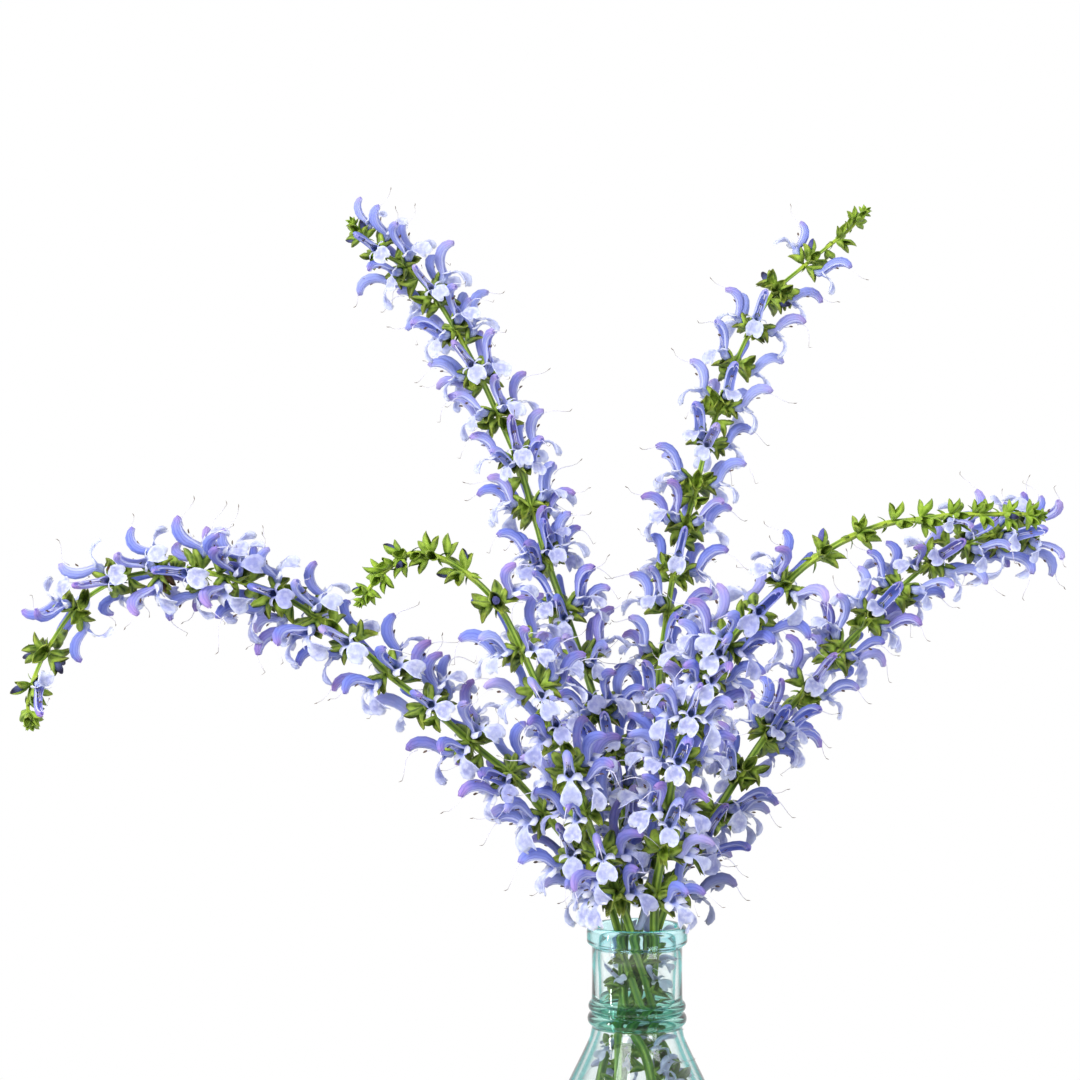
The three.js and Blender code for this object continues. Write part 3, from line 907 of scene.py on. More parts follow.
def glass_finish():
    """Clear glass with an aqua tint that deepens where the light passes more of it. The lip, the
    beads and the wall seen edge on get a painted deeper tint that stands in for light crossing
    more glass, darkest green on the beads, where it also stands in for dark leaves seen through
    them.
    """
    paint = Finish("aqua_glass")
    swell = paint.noise(38.0, 1.0)
    fine = paint.noise(420.0, 2.0)
    normal = paint.bump(swell + fine * 0.02, 0.0006, 0.35)
    height = paint.height()
    lip = height.step(*AT_LIP)
    beads = height.step(*BELOW_BEADS) - height.step(*ABOVE_BEADS)
    edge = paint.node("LayerWeight", {}, {"Blend": 0.3, "Normal": normal}, output="Facing")
    # Painted tint by height and by how edge-on the wall is seen, standing in for light crossing
    # more glass.
    base = paint.mix(lip, CLEAR_GLASS, LIP_GLASS)
    base = paint.mix(beads.held(), base, BEAD_GLASS)
    base = paint.mix(edge.step(0.3, 0.5), base, EDGE_GLASS)
    inputs = {"Base Color": base, "Roughness": fine * 0.02, "IOR": 1.5,
              "Transmission Weight": 1.0, "Normal": normal}
    surface = paint.node("BsdfPrincipled", {}, inputs)
    tint = paint.node("VolumeAbsorption", {}, {"Color": (0.0, 0.82, 0.8, 1), "Density": 10.0})
    return paint.finish(surface, tint)


def water_finish():
    paint = Finish("still_water")
    ripple = paint.noise(60.0, 1.0)
    normal = paint.bump(ripple, 0.0002, 0.15)
    inputs = {"Base Color": (1, 1, 1, 1), "Roughness": 0.0, "IOR": 1.333,
              "Transmission Weight": 1.0, "Normal": normal}
    surface = paint.node("BsdfPrincipled", {}, inputs)
    tint = paint.node("VolumeAbsorption", {}, {"Color": (0.72, 0.93, 0.86, 1), "Density": 4.0})
    return paint.finish(surface, tint)


def floor_finish():
    paint = Finish("pale_floor")
    cloud = paint.noise(8.0, 2.0)
    base = paint.mix(cloud, colour(236, 236, 236), colour(244, 244, 244))
    return paint.finish(paint.node("BsdfPrincipled", {}, {"Base Color": base, "Roughness": 0.7}))


# Shapes in the flower's own frame: x out from the stem, y up it, z across it. A ring is
# (x, y, lean in degrees, half width, half depth), and lean 0 faces straight out.

PETAL_THICKNESS = 0.24
TUBE = [(7.6, 0.8, 2, 2.0, 2.1), (9.8, 1.1, 4, 2.2, 2.4), (12.0, 1.6, 10, 2.3, 2.8)]
# In the hood a ring's place is its middle, and its last number the whole depth
HOOD = [
    (13.1, 4.1, 50, 2.2, 3.9), (13.8, 7.0, 70, 2.1, 4.6), (15.0, 10.1, 62, 2.1, 5.3),
    (17.1, 12.9, 46, 2.1, 5.8), (20.0, 14.9, 27, 2.0, 5.7), (23.1, 15.6, 7, 1.8, 5.1),
    (26.0, 15.1, -16, 1.4, 4.1), (28.0, 13.9, -34, 0.9, 2.7),
]
# In the lip it is the crest, and the last number how far the sides bend down from it
LIP = [
    (13.9, 0.5, 4, 1.9, -1.6), (15.8, 0.5, 0, 1.5, -0.9), (17.6, 0.6, -4, 1.4, -0.5),
    (19.4, 0.3, -16, 1.9, -0.5), (21.1, -0.8, -44, 3.3, -1.0), (22.1, -2.8, -68, 5.1, -1.8),
    (22.6, -5.0, -82, 5.7, -2.4), (22.7, -7.1, -94, 5.0, -2.2), (22.4, -8.9, -104, 3.4, -1.5),
]
SIDE_LOBE = [((0.4, 0.7, 1.6), 1.25), ((0.6, -0.2, 1.9), 1.1), ((0.4, -1.1, 1.2), 0.6)]
LIP_RUFFLE = 0.42
FLOWER_SIDES = 16
# The hood takes the corners above this share of the half depth, and the lip those below
PARTING = -0.38
# The parting's place round the tube, from 0 at the top to 1 at the bottom
HOOD_EDGE = 0.625
# Bends of the hood and the lip in degrees, the hood's spread and how open its edges stay, for
# each kind of flower
FLOWER_KINDS = [
    (0, 0, 1.1, 0.4), (7, -8, 1.3, 0.7), (-8, 6, 1.05, 0.3), (4, 12, 1.5, 1.0),
    (-4, -14, 1.2, 0.5), (10, 4, 1.0, 0.35),
]

CALYX = [
    (0, 0, 0, 0.6, 0.6), (2.2, 0.1, 2, 0.85, 0.85), (3.6, 0.2, 3, 1.9, 2.0),
    (5.6, 0.4, 4, 2.8, 3.1), (7.4, 0.6, 3, 3.1, 3.8),
]
UPPER_LIP = [
    (9.2, 1.8, 16, 3.0, 3.6), (10.7, 3.2, 26, 2.4, 2.8), (12.0, 4.8, 34, 1.3, 1.5),
    (12.8, 6.0, 40, 0.15, 0.2),
]
LOWER_TOOTH = [((1.8, -0.9, -0.2), 0.88), ((1.5, -1.3, -0.3), 0.66), ((1.1, -1.2, -0.3), 0.14)]
CALYX_SIDES = 12
CALYX_THICKNESS = 0.3
RIB = 1.14
# Degrees by which the upper lip and the lower teeth of each kind of calyx open, and its girth
CALYX_KINDS = {"open": (0, 1.0), "wide": (10, 0.92), "shut": (-24, 0.8)}

STYLE = [
    (22.0, 13.2, 30, 0.24, 0.24), (25.2, 14.6, 14, 0.24, 0.24), (28.4, 14.4, -12, 0.24, 0.24),
    (31.2, 13.2, -30, 0.22, 0.22), (34.0, 11.2, -38, 0.19, 0.19), (36.8, 9.2, -34, 0.14, 0.14),
    (39.4, 7.8, -26, 0.13, 0.13),
]
STIGMA = [((0.5, 0.1, 0), 1.9), ((0.9, 0.3, 0), 0.9), ((0.6, 0.4, 0), 0.3)]
STYLE_KINDS = [(0, 1.0), (24, 0.95), (46, 0.8), (-20, 0.9), (12, 0.7)]
FILAMENT = [(14.0, 4.0, 60, 0.15, 0.15), (16.6, 7.6, 50, 0.15, 0.15), (19.6, 9.8, 20, 0.15, 0.15)]
ANTHER = [(18.9, 9.6, 30, 0.15, 0.15), (19.4, 9.9, 25, 0.42, 0.4), (20.4, 10.3, 15, 0.42, 0.4),
          (21.0, 10.4, 5, 0.1, 0.1)]

BUD = [
    (6.0, 0.7, 4, 1.4, 1.5), (8.6, 1.0, 6, 1.9, 2.1), (10.8, 1.6, 14, 1.9, 2.2),
    (12.8, 2.4, 22, 1.5, 1.8), (14.2, 3.1, 26, 0.8, 1.0), (14.7, 3.3, 28, 0.2, 0.25),
]
BRACT = [
    (0.6, 0, 0, 0.7, 0.3), (2.0, 0.2, 4, 1.1, 0.5), (4.0, 0.2, -4, 1.3, 0.6),
    (6.0, -0.2, -14, 1.0, 0.4), (7.8, -0.9, -24, 0.4, 0.2), (8.8, -1.4, -30, 0.06, 0.04),
]


def on_ring(ring, lowest, highest, side=0):
    """A test for corners on a ring between two shares of its half depth, on one side or both."""
    x, y, lean, width, depth = ring
    angle = math.radians(lean)
    along = Vector((math.cos(angle), math.sin(angle), 0))
    up = Vector((-math.sin(angle), math.cos(angle), 0))

    def test(place):
        offset = place - Vector((x, y, 0))
        share = offset.dot(up) / depth
        here = abs(offset.dot(along)) < 0.05 and abs(place.z) < 1.3 * width
        return here and lowest < share < highest and place.z * side >= 0

    return test


def any_of(tests):
    return lambda place: any(test(place) for test in tests)


def along_rings(rings, share, side=0):
    """A test for the corners at one share of the half depth of each ring."""
    return any_of([on_ring(ring, share - 0.06, share + 0.06, side) for ring in rings])


def corner_at(rise, run, sides):
    """The number of a corner of a regular ring, counted from the run's direction."""
    return round(math.degrees(math.atan2(rise, run)) / (360 / sides))


def bent(rings, pivot, degrees):
    """The rings swung about a pivot, more and more towards the last."""
    swung = []
    for number, (x, y, lean, width, depth) in enumerate(rings, 1):
        turn = degrees * number / len(rings)
        c, s = math.cos(math.radians(turn)), math.sin(math.radians(turn))
        dx, dy = x - pivot[0], y - pivot[1]
        place = (pivot[0] + dx * c - dy * s, pivot[1] + dx * s + dy * c)
        swung.append((*place, lean + turn, width, depth))
    return swung


def raised(x, y, lean, amount):
    angle = math.radians(lean)
    return x - amount * math.sin(angle), y + amount * math.cos(angle)


def hood_ring(x, y, lean, width, whole):
    """A ring of the hood as the full ring that its arc, open below, is a part of."""
    depth = whole / (1 - PARTING)
    return (*raised(x, y, lean, -depth * (1 + PARTING) / 2), lean, width, depth)


def lip_ring(x, y, lean, width, bend):
    """A ring of the lip as the full ring that its arc, the lowest part, belongs to."""
    depth = -bend / (1 + PARTING)
    return (*raised(x, y, lean, depth), lean, width, depth)


def corolla_shape(number, hood_bend, lip_bend, spread_out, gap, finish):
    """A two-lipped flower: a short tube, a hood folded along its top, and a notched lower lip."""
    piece = new_piece("corolla")
    foot = TUBE[0]
    add_ring(FLOWER_SIDES, foot, filled=True)
    stamp("around", lambda place: abs(math.atan2(place.z / foot[3], place.y - foot[1])) / math.pi)
    choose_all()
    draw_out(foot, TUBE[1:], reach=(0, 0.15))
    bpy.ops.mesh.delete(type="ONLY_FACE")
    throat = TUBE[-1]
    hood = [hood_ring(x, y, lean, width * spread_out, whole) for x, y, lean, width, whole in HOOD]
    hood = bent(hood, throat[:2], hood_bend)
    lip = bent([lip_ring(*ring) for ring in LIP], throat[:2], lip_bend)
    choose(on_ring(throat, PARTING - 0.1, 1.1))
    draw_out(throat, hood, reach=(0.15, 1))
    choose(along_rings(hood[1:], PARTING))
    resize((1, 1, gap))
    choose(along_rings(hood[1:], 0))
    resize((1, 1, 0.5 + gap / 2))
    choose(on_ring(throat, -1.1, PARTING + 0.1))
    draw_out(throat, lip, reach=(0.15, 1), lip=(1, 1))
    notch_lip(lip[-1])
    for side in (1, -1):
        choose(along_rings(lip[:3], PARTING, side))
        draw_tip(SIDE_LOBE, side, around=0.68, reach=0.7)
    choose(any_of([on_ring(ring, -1.1, 1.1) for ring in lip[4:]]))
    bpy.ops.transform.vertex_random(offset=LIP_RUFFLE, seed=number)
    return keep_shape(thicken(piece, PETAL_THICKNESS), finish)


def notch_lip(last):
    """Draws the middle of the lip's edge back."""
    choose(lambda place: on_ring(last, -1.1, 1.1)(place) and abs(place.z) < 0.3)
    bpy.ops.transform.translate(value=(0.2, 1.5, 0))


def calyx_shape(kind, finish):
    """A ribbed bell on a short stalk, with a pointed upper lip and two teeth below."""
    opening, girth = CALYX_KINDS[kind]
    piece = new_piece("calyx_" + kind)
    add_ring(CALYX_SIDES, CALYX[0])
    choose(lambda place: corner_at(place.z, place.y, CALYX_SIDES) % 2 == 0)
    stamp("rib", 1)
    resize((1, RIB, RIB))
    choose_all()
    stamp("leaf", 1)
    draw_out(CALYX[0], CALYX[1:], reach=(0, 0.65))
    mouth = CALYX[-1]
    choose(on_ring(mouth, -0.05, 1.3))
    draw_out(mouth, bent(UPPER_LIP, mouth[:2], opening), reach=(0.65, 1))
    drop = math.tan(math.radians(opening))
    tooth = [((x, y - drop, z), scale) for (x, y, z), scale in LOWER_TOOTH]
    for side in (1, -1):
        choose(lambda place: on_ring(mouth, -1.3, 0.05)(place) and place.z * side > -0.05)
        draw_tip(tooth, side, reach=0.95)
    choose_all()
    resize((1, 0.5 + girth / 2, girth))
    return keep_shape(thicken(piece, CALYX_THICKNESS), finish)


def thread(corners, rings, z=0, **stamps):
    """A closed thread through rings, added to the mesh in edit mode."""
    add_ring(corners, rings[0], z, filled=True)
    for name, (first, _) in stamps.items():
        stamp(name, first)
    draw_out(rings[0], rings[1:], z, **stamps)


def style_shape(bend, length, finish):
    """A thread out of the hood's tip with a swollen, pointed end, and two anthers under the hood.
    """
    piece = new_piece("style")
    pivot = STYLE[1]
    beyond = [(pivot[0] + (x - pivot[0]) * length, y, *rest) for x, y, *rest in STYLE[2:]]
    rings = [*STYLE[:2], *bent(beyond, pivot[:2], bend)]
    thread(4, rings, tip=(0, 0.8))
    draw_tip(STIGMA, tip=1)
    for side in (1, -1):
        thread(3, FILAMENT, 0.45 * side, tip=(0, 0.2))
        thread(5, ANTHER, 0.55 * side, tip=(1, 1))
    return keep_shape(close_up(piece), finish)


def bud_shape(finish):
    """A closed flower whose rounded end looks out of its calyx."""
    piece = new_piece("bud")
    thread(8, BUD, reach=(0, 1), around=(0.2, 0.2))
    return keep_shape(close_up(piece), finish)


def bract_shape(finish):
    """A small pointed leaf, folded along its middle and curved down."""
    piece = new_piece("bract")
    add_ring(8, BRACT[0])
    choose(lambda place: place.y < -0.05)
    bpy.ops.mesh.delete(type="VERT")
    choose_all()
    stamp("leaf", 1)
    choose(lambda place: abs(place.z) < 0.05)
    stamp("rib", 1)
    choose_all()
    draw_out(BRACT[0], BRACT[1:], reach=(0, 1))
    return keep_shape(thicken(piece, CALYX_THICKNESS), finish)


# Stems

ROUTE_STEP = 2.5
JOINT_SWELL = 0.16
JOINT_LENGTH = 3.0
JOINT_COLOUR = 1.4 * JOINT_LENGTH
STEM_SIDES = 16
STEM_CORNER = 1.14
STEM_GROOVE = 0.86


def curve_through(points, step):
    """Points about a step apart on a smooth curve through all the points given."""
    padded = [2 * points[0] - points[1], *points, 2 * points[-1] - points[-2]]
    places = []
    for a, b, c, d in zip(padded, padded[1:], padded[2:], padded[3:]):
        count = max(1, round(np.linalg.norm((c - b)[:3]) / step))
        for k in range(count):
            t = k / count
            places.append(0.5 * (2 * b + (c - a) * t + (2 * a - 5 * b + 4 * c - d) * t**2
                                 + (3 * b - a - 3 * c + d) * t**3))
    return np.array([*places, points[-1]])


def stem_profile():
    """The stem's section: a square with rounded corners and a shallow groove in each side."""
    deselect_all()
    bpy.ops.mesh.primitive_circle_add(vertices=STEM_SIDES, radius=MM / 2)
    profile = bpy.context.object
    bpy.ops.object.mode_set(mode="EDIT")
    for rest, scale in ((2, STEM_CORNER), (0, STEM_GROOVE)):
        choose(lambda place: corner_at(place.y, place.x, STEM_SIDES) % 4 == rest)
        resize((scale,) * 3)
    leave_edit_mode()
    bpy.ops.object.convert(target="CURVE")
    return bpy.context.object


def stem_piece(name, stem, profile, finish):
    """A square stem on a smooth line through its sections, a little thicker at each whorl."""
    rows = [np.array((*section["at"], section["width"])) for section in stem]
    route = curve_through(rows, ROUTE_STEP)
    joints = np.array([section["at"] for section in stem[len(IN_BOTTLE):-1]])
    near = np.linalg.norm(route[:, None, :3] - joints[None], axis=2).min(axis=1)
    swell = 1 + JOINT_SWELL * np.exp(-((near / JOINT_LENGTH) ** 2))
    curve = bpy.data.curves.new(name, "CURVE")
    curve.dimensions = "3D"
    curve.twist_mode = "MINIMUM"
    curve.bevel_mode = "OBJECT"
    curve.bevel_object = profile
    curve.use_fill_caps = True
    line = curve.splines.new("POLY")
    line.points.add(len(route) - 1)
    for point, row, more in zip(line.points, route, swell):
        point.co = (*(row[:3] * MM), 1)
        point.radius = row[3] * more
    make_active(new_object(name, curve))
    bpy.ops.object.convert(target="MESH")
    piece = bpy.context.object
    bpy.ops.object.mode_set(mode="EDIT")
    choose_all()
    bpy.ops.mesh.remove_doubles(threshold=MM / 100)
    bpy.ops.mesh.normals_make_consistent(inside=False)
    leave_edit_mode()
    bpy.ops.object.shade_smooth_by_angle(angle=math.radians(50))
    piece.data.materials.clear()
    piece.data.materials.append(finish)
    places = np.empty(len(piece.data.vertices) * 3)
    piece.data.vertices.foreach_get("co", places)
    near = np.linalg.norm(places.reshape(-1, 1, 3) / MM - joints[None], axis=2).min(axis=1)
    write_numbers(piece.data, "joint", np.exp(-((near / JOINT_COLOUR) ** 2)))
    write_numbers(piece.data, "ridge", ridges_of(places.reshape(-1, 3) / MM, route, swell))
    return piece


def ridges_of(places, route, swell):
    """From 0 in the grooves of a stem to 1 on its four edges, at each of the places."""
    ridges = np.empty(len(places))
    for k, place in enumerate(places):
        offset = place - route[:, :3]
        distance = (offset**2).sum(axis=1)
        nearest = int(distance.argmin())
        share = math.sqrt(distance[nearest]) / (route[nearest, 3] * swell[nearest])
        ridges[k] = min(max((share - STEM_GROOVE / 2) / ((STEM_CORNER - STEM_GROOVE) / 2), 0), 1)
    return ridges


# Dressing the spikes

def matrix_of(turned, at, size):
    """A flower's matrix from its turn, its place in millimetres and its size."""
    matrix = Matrix((turned * size * MM).tolist()).to_4x4()
    matrix.translation = Vector(at) * MM
    return matrix


FLOWER_SWELL = 1.03
CALYX_SWELL = 1.02
STYLE_MARGIN = 1
# Calyxes above the flowers lift, and grow young over this many whorls.
YOUNG_LIFT = 24
YOUNG_OVER = 4
BUD_SHARE = 0.34
STYLE_SHARE = 0.92
# Bracts below a whorl: how many, degrees round the stem, tip down, roll and size, mostly each
# with its middle and its spread.
BRACTS = 3
BRACT_ROUND = (54, 25)
BRACT_DROOP = (-38, 22)
BRACT_ROLL = 20
BRACT_SIZE = (1.0, 0.12)
BRACT_FADE = 0.5
BRACT_RISE = 0.8
# The tuft at a tip: how many calyxes, degrees round the stem, tip up, drop and size.
TUFT = 5
TUFT_ROUND = 12
TUFT_TIP = (52, 10)
TUFT_DROP = 2.5
TUFT_SIZE = (0.4, 0.05)
# Shade on petals: how far out of the stem it is taken, the height below which it grows and
# the depth behind which it grows, each over a number of millimetres.
SHADE_REACH = 18
SHADE_TOP = 320
SHADE_DEPTH = 80
SHADE_FROM = -15
SHADE_OVER = 30
# The flowers high up are paler.
PALE_FROM = 420
PALE_RISE = 50
PALE_SHARE = 0.7


def dress_spike(s, stem, organs, shapes):
    """The greenery, the corollas and the styles of one spike."""
    name = SPIKES[s]["name"]
    green = [stem_piece(name + "_stem", stem, shapes["profile"], shapes["greenery"])]
    petals = []
    threads = []
    for organ in organs:
        keys = (s, organ["whorl"], organ["place"])
        matrix = matrix_of(organ["turned"], organ["at"], organ["size"])
        if organ["kind"] == "leaf":
            green.append(plant(shapes["bract"], matrix))
            continue
        matrix = matrix_of(organ["turned"], organ["at"], organ["size"] * FLOWER_SWELL)
        above = organ["whorl"] - SPIKES[s]["in_flower"] + 1
        young = min(max(above / YOUNG_OVER, 0), 1)
        if organ["kind"] == "calyx" and above > 0:
            matrix = matrix @ Matrix.Rotation(math.radians(YOUNG_LIFT), 4, "Z")
        cup = matrix @ Matrix.Scale(CALYX_SWELL, 4)
        if organ["kind"] == "flower":
            kind = int(chance(*keys, 11) * len(FLOWER_KINDS))
            high = min(max((organ["at"][2] - PALE_FROM) / PALE_RISE, 0), 1)
            # Petals inside the bottle get painted light, since the glass keeps the lamps' light
            # from them.
            inside = 1.0 if organ["at"][2] < HEIGHT else 0.0
            numbers = {
                "tint": chance(*keys, 12),
                "shade": chance(*keys, 13) * (1 - PALE_SHARE * high),
                "painted_shade": deep_inside(organ) * chance(*keys, 17) * (1 - inside),
                "inside": inside,
            }
            petals.append(plant(shapes["corollas"][kind], matrix, **numbers))
            reach = matrix @ Vector((*STYLE[-1][:2], 0))
            if chance(*keys, 14) < STYLE_SHARE and in_bounds(reach, STYLE_MARGIN):
                kind = int(chance(*keys, 15) * len(STYLE_KINDS))
                threads.append(plant(shapes["styles"][kind], matrix))
            form = "open"
        else:
            form = "shut" if above > 0 else "wide"
            if organ["kind"] == "spent":
                form = "shut"
            elif above >= 0 and chance(*keys, 16) < BUD_SHARE * (1.2 - young):
                numbers = {"tint": chance(*keys, 12), "shade": 1.0, "bud": 1.0}
                petals.append(plant(shapes["bud"], matrix, **numbers))
        spent = 1.0 if organ["kind"] == "spent" else 0.0
        green.append(plant(shapes["calyxes"][form], cup, young=young, spent=spent))
    green += bracts_of(s, stem, shapes)
    pieces = [
        (join(name + "_greenery", green), "greenery"),
        (join(name + "_corollas", petals), "corollas"),
        (join(name + "_styles", threads), "styles"),
    ]
    for piece, slot in pieces:
        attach(piece, "root")
        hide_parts(name)


def deep_inside(organ):
    """From 0 outside to 1 far down and behind, where the petals are in the shade."""
    x, y, z = organ["at"] + organ["turned"][:, 0] * SHADE_REACH
    down = np.clip((SHADE_TOP - z) / SHADE_DEPTH, 0, 1)
    return float(down * np.clip((y - SHADE_FROM) / SHADE_OVER, 0, 1))


def bracts_of(s, stem, shapes):
    """Small leaves that hang below each whorl, and a tuft of shut calyxes at the tip."""
    made = []
    whorls = stem[len(IN_BOTTLE):]
    for w, section in enumerate(whorls[:-1]):
        for b in range(BRACTS):
            middle, stray = BRACT_ROUND
            degrees = TURN * w + middle + 360 / BRACTS * b + spread(stray, s, w, b, 21)
            droop = BRACT_DROOP[0] + spread(BRACT_DROOP[1], s, w, b, 22)
            turned = placing(section, degrees, droop, 0, spread(BRACT_ROLL, s, w, b, 23))
            full, stray = BRACT_SIZE
            size = full * (1 - BRACT_FADE * w / len(whorls)) + spread(stray, s, w, b, 24)
            at = section["at"] + section["along"] * BRACT_RISE
            made.append(plant(shapes["bract"], matrix_of(turned, at, size)))
    tip = whorls[-1]
    for k in range(TUFT):
        degrees = 360 / TUFT * k + spread(TUFT_ROUND, s, k, 25)
        turned = placing(tip, degrees, TUFT_TIP[0] + spread(TUFT_TIP[1], s, k, 26), 0, 0)
        at = tip["at"] - tip["along"] * TUFT_DROP
        size = TUFT_SIZE[0] + spread(TUFT_SIZE[1], s, k, 27)
        made.append(plant(shapes["calyxes"]["shut"], matrix_of(turned, at, size), young=1.0))
    return made


# Bottle and water

GLASS_STEPS = 128


def arc(r, z, across, up, first, last, steps):
    """Points on part of an ellipse round (r, z), between two angles in degrees."""
    points = []
    for k in range(steps + 1):
        angle = math.radians(first + (last - first) * k / steps)
        points.append((r + across * math.cos(angle), z + up * math.sin(angle)))
    return points


def smooth_line(points, step):
    rows = [np.array(point, dtype=float) for point in points]
    return [tuple(row) for row in curve_through(rows, step)]


def lathe(name, outline, finish):
    """Turns an outline of (radius, height) round the z axis into a closed piece."""
    piece = new_piece(name)
    bpy.ops.mesh.primitive_circle_add(vertices=3, radius=1)
    choose(lambda place: place.y < 0.9)
    bpy.ops.mesh.delete(type="VERT")
    choose_all()
    r0, z0 = outline[0]
    bpy.ops.transform.translate(value=(r0, -1, z0))
    for r, z in outline[1:]:
        extrude((r - r0, 0, z - z0))
        r0, z0 = r, z
    choose_all()
    bpy.ops.mesh.spin(
        steps=GLASS_STEPS, angle=2 * math.pi, center=(0, 0, 0), axis=(0, 0, 1)
    )
    close_up(piece)
    piece.data.transform(Matrix.Scale(MM, 4))
    piece.data.materials.append(finish)
    return piece


def inside_of_bottle():
    """The wall's inner line, from the mouth down to the floor's middle."""
    neck = NECK_RADIUS - WALL
    body = BODY_RADIUS - WALL
    shoulder = smooth_line([(neck, 175), NECK_FOOT, *SHOULDER, (body, 100), (body, 90)], 4)
    return [
        *arc(neck + 1.6, HEIGHT - 3.2, 1.6, 3.2, 90, 180, 6),
        *shoulder,
        *arc(body - 6, FLOOR + 6, 6, 6, 0, -90, 6),
        (20, FLOOR + 0.8),
        (0, FLOOR + 1.4),
    ]


def outside_of_bottle():
    """The outer line, from the middle of the base up to the mouth."""
    shoulder = smooth_line(
        [(BODY_RADIUS, 92), (BODY_RADIUS - 0.1, 98), (46.3, 112), (43, 127), (36.8, 141),
         (30.2, 154.5), (25.4, 165), (NECK_RADIUS, 170)], 4
    )
    bulge = BEAD_RADIUS - NECK_RADIUS
    return [
        (0, 1.6),
        (30, 1.2),
        (36, 0),
        *arc(BODY_RADIUS - 5, 5, 5, 5, -90, 0, 6),
        *shoulder,
        *arc(NECK_RADIUS, 174.9, bulge, 3.1, -80, 80, 10),
        *arc(NECK_RADIUS, 181.6, bulge * 0.8, 2.5, -80, 80, 10),
        (NECK_RADIUS, 186),
        (NECK_RADIUS - 0.2, 200),
        (NECK_RADIUS, 213.5),
        *arc(LIP_RADIUS - 1.6, 217.2, 1.6, 2.2, -90, 0, 5),
        *arc(LIP_RADIUS - 2.6, HEIGHT - 3.4, 2.6, 3.4, 0, 90, 7),
    ]


def make_bottle():
    outline = [*outside_of_bottle(), *inside_of_bottle()]
    bottle = lathe("bottle_glass", outline, glass_finish())
    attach(bottle, "root")
    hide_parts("bottle")


WATER_OVERLAP = 0.12
# The water's climbing edge: how far in from the glass, and how far above the level.
WATER_EDGE = [(0.3, 1.6), (1.2, 0.6), (3, 0.1), (6, 0)]


def make_water():
    """Water that wets the glass: its side lies just inside the wall's surface."""
    wall = [point for point in inside_of_bottle() if point[1] < WATER_LEVEL]
    side = [(r + (WATER_OVERLAP if r else 0), z - WATER_OVERLAP) for r, z in reversed(wall)]
    edge = side[-1][0]
    rim = [(edge - inward, WATER_LEVEL + rise) for inward, rise in WATER_EDGE]
    water = lathe("water_body", [*side, *rim, (0, WATER_LEVEL)], water_finish())
    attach(water, "root")
    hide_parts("water")


# Studio

CAMERA_PLACE = (-52.4, -1300, 432.9)
MM_PER_PIXEL = 0.54
PHOTO_SIDE = 1080
SENSOR = 36
NEAR_LIGHT = 0.32
FLOOR_RADIUS = 0.42
# Each lamp: its name, place, sides, power and colour. All point at one place, in metres.
LAMPS = [
    ("key", (-1.0, -1.5, 1.3), (1.0, 1.0), 62, (1, 0.99, 0.97)),
    ("fill", (1.3, -1.5, 0.7), (1.0, 1.0), 26, (0.96, 0.98, 1)),
    ("strip", (-1.85, -0.62, 0.5), (0.12, 1.1), 14, (1, 1, 1)),
]
LAMPS_AIM = Vector((0, 0, 0.38))


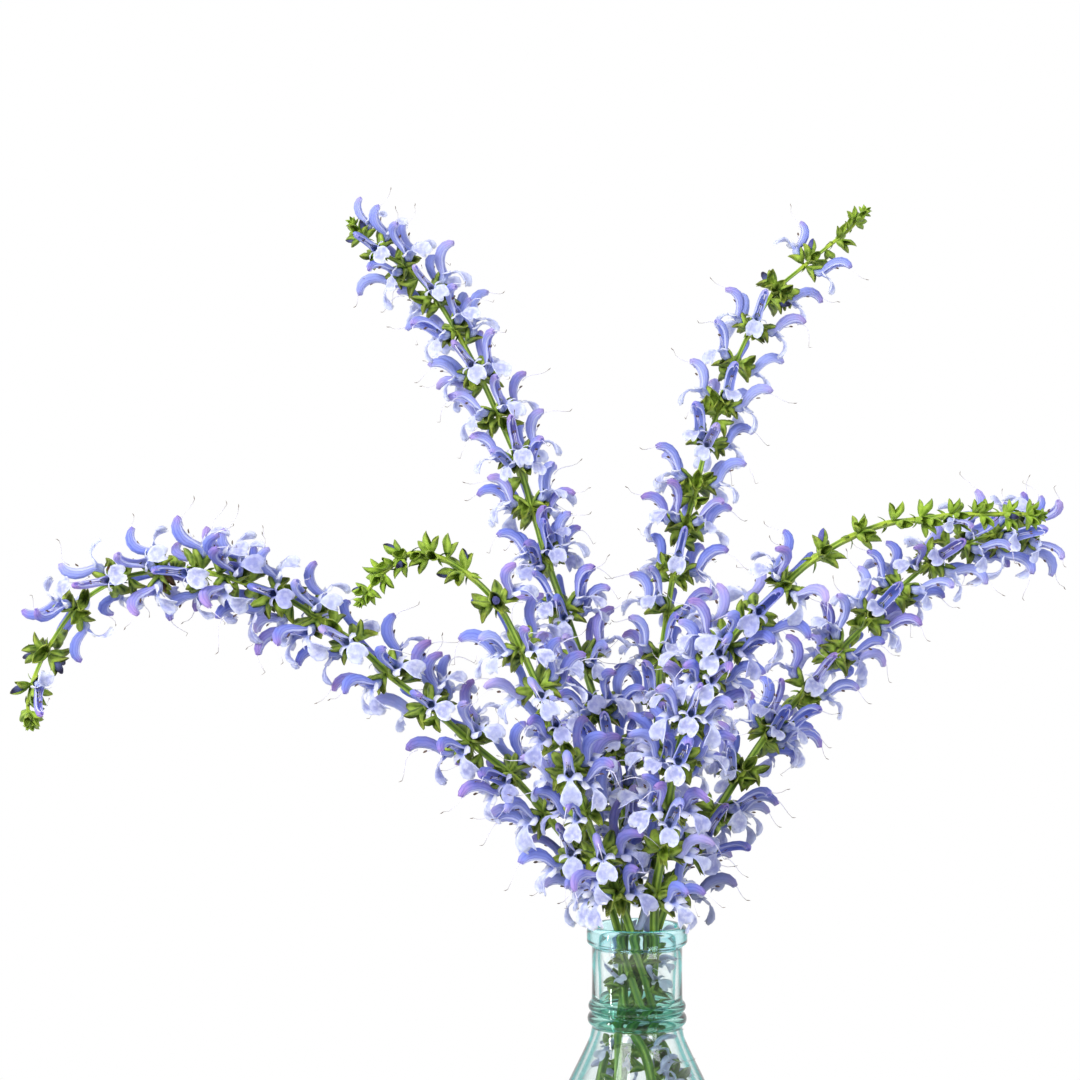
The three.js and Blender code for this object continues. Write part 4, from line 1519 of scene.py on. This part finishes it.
def make_studio():
    """A pale floor, a backdrop that is bright on the far side, and soft lamps."""
    deselect_all()
    bpy.ops.mesh.primitive_circle_add(vertices=96, radius=FLOOR_RADIUS, fill_type="NGON")
    floor = bpy.context.object
    floor.name = "floor"
    floor.data.materials.append(floor_finish())
    world = bpy.data.worlds.new("studio")
    bpy.context.scene.world = world
    world.use_nodes = True
    light_backdrop(world.node_tree)
    for name, place, sides, power, tint in LAMPS:
        lamp = bpy.data.lights.new(name, "AREA")
        lamp.shape = "RECTANGLE"
        lamp.size, lamp.size_y = sides
        lamp.energy = power
        lamp.color = tint
        holder = new_object(name, lamp)
        holder.location = place
        holder.visible_glossy = name == "strip"
        holder.rotation_euler = (LAMPS_AIM - Vector(place)).to_track_quat("-Z", "Y").to_euler()


def light_backdrop(tree):
    """A studio whose far side is a bright white backdrop and whose near side is dimmer."""
    nodes, links = tree.nodes, tree.links
    place = nodes.new("ShaderNodeTexCoord")
    parts = nodes.new("ShaderNodeSeparateXYZ")
    far = nodes.new("ShaderNodeMapRange")
    far.interpolation_type = "SMOOTHSTEP"
    limits = {"From Min": -0.5, "From Max": 0.35, "To Min": NEAR_LIGHT, "To Max": 1.0}
    for name, value in limits.items():
        far.inputs[name].default_value = value
    links.new(place.outputs["Generated"], parts.inputs[0])
    links.new(parts.outputs["Y"], far.inputs["Value"])
    links.new(far.outputs["Result"], nodes["Background"].inputs["Strength"])
    nodes["Background"].inputs["Color"].default_value = (1, 1, 1, 1)


def make_camera():
    """A level camera in front, as far off as the photograph's perspective asks."""
    view = bpy.data.cameras.new("camera")
    view.sensor_width = SENSOR
    view.lens = SENSOR * -CAMERA_PLACE[1] / (MM_PER_PIXEL * PHOTO_SIDE)
    view.clip_start = 0.05
    view.clip_end = 20
    holder = new_object("camera", view)
    holder.location = Vector(CAMERA_PLACE) * MM
    holder.rotation_euler = (math.pi / 2, 0, 0)
    bpy.context.scene.camera = holder


def make_shapes():
    petals = petal_finish()
    greenery = greenery_finish()
    styles = thread_finish()
    return {
        "greenery": greenery,
        "corollas": [
            corolla_shape(number, *bends, petals) for number, bends in enumerate(FLOWER_KINDS)
        ],
        "calyxes": {kind: calyx_shape(kind, greenery) for kind in CALYX_KINDS},
        "styles": [style_shape(bend, length, styles) for bend, length in STYLE_KINDS],
        "bud": bud_shape(petals),
        "bract": bract_shape(greenery),
        "profile": stem_profile(),
    }


make_camera()
make_studio()
stems, organs = grow_spikes()
add_strays(stems, organs)
crowd(stems, organs)
fill_bottle(stems, organs)
shapes = make_shapes()
for s, stem in enumerate(stems):
    dress_spike(s, stem, organs[s], shapes)
bpy.data.objects.remove(shapes["profile"])
make_bottle()
make_water()
bpy.context.scene.view_settings.view_transform = "Standard"
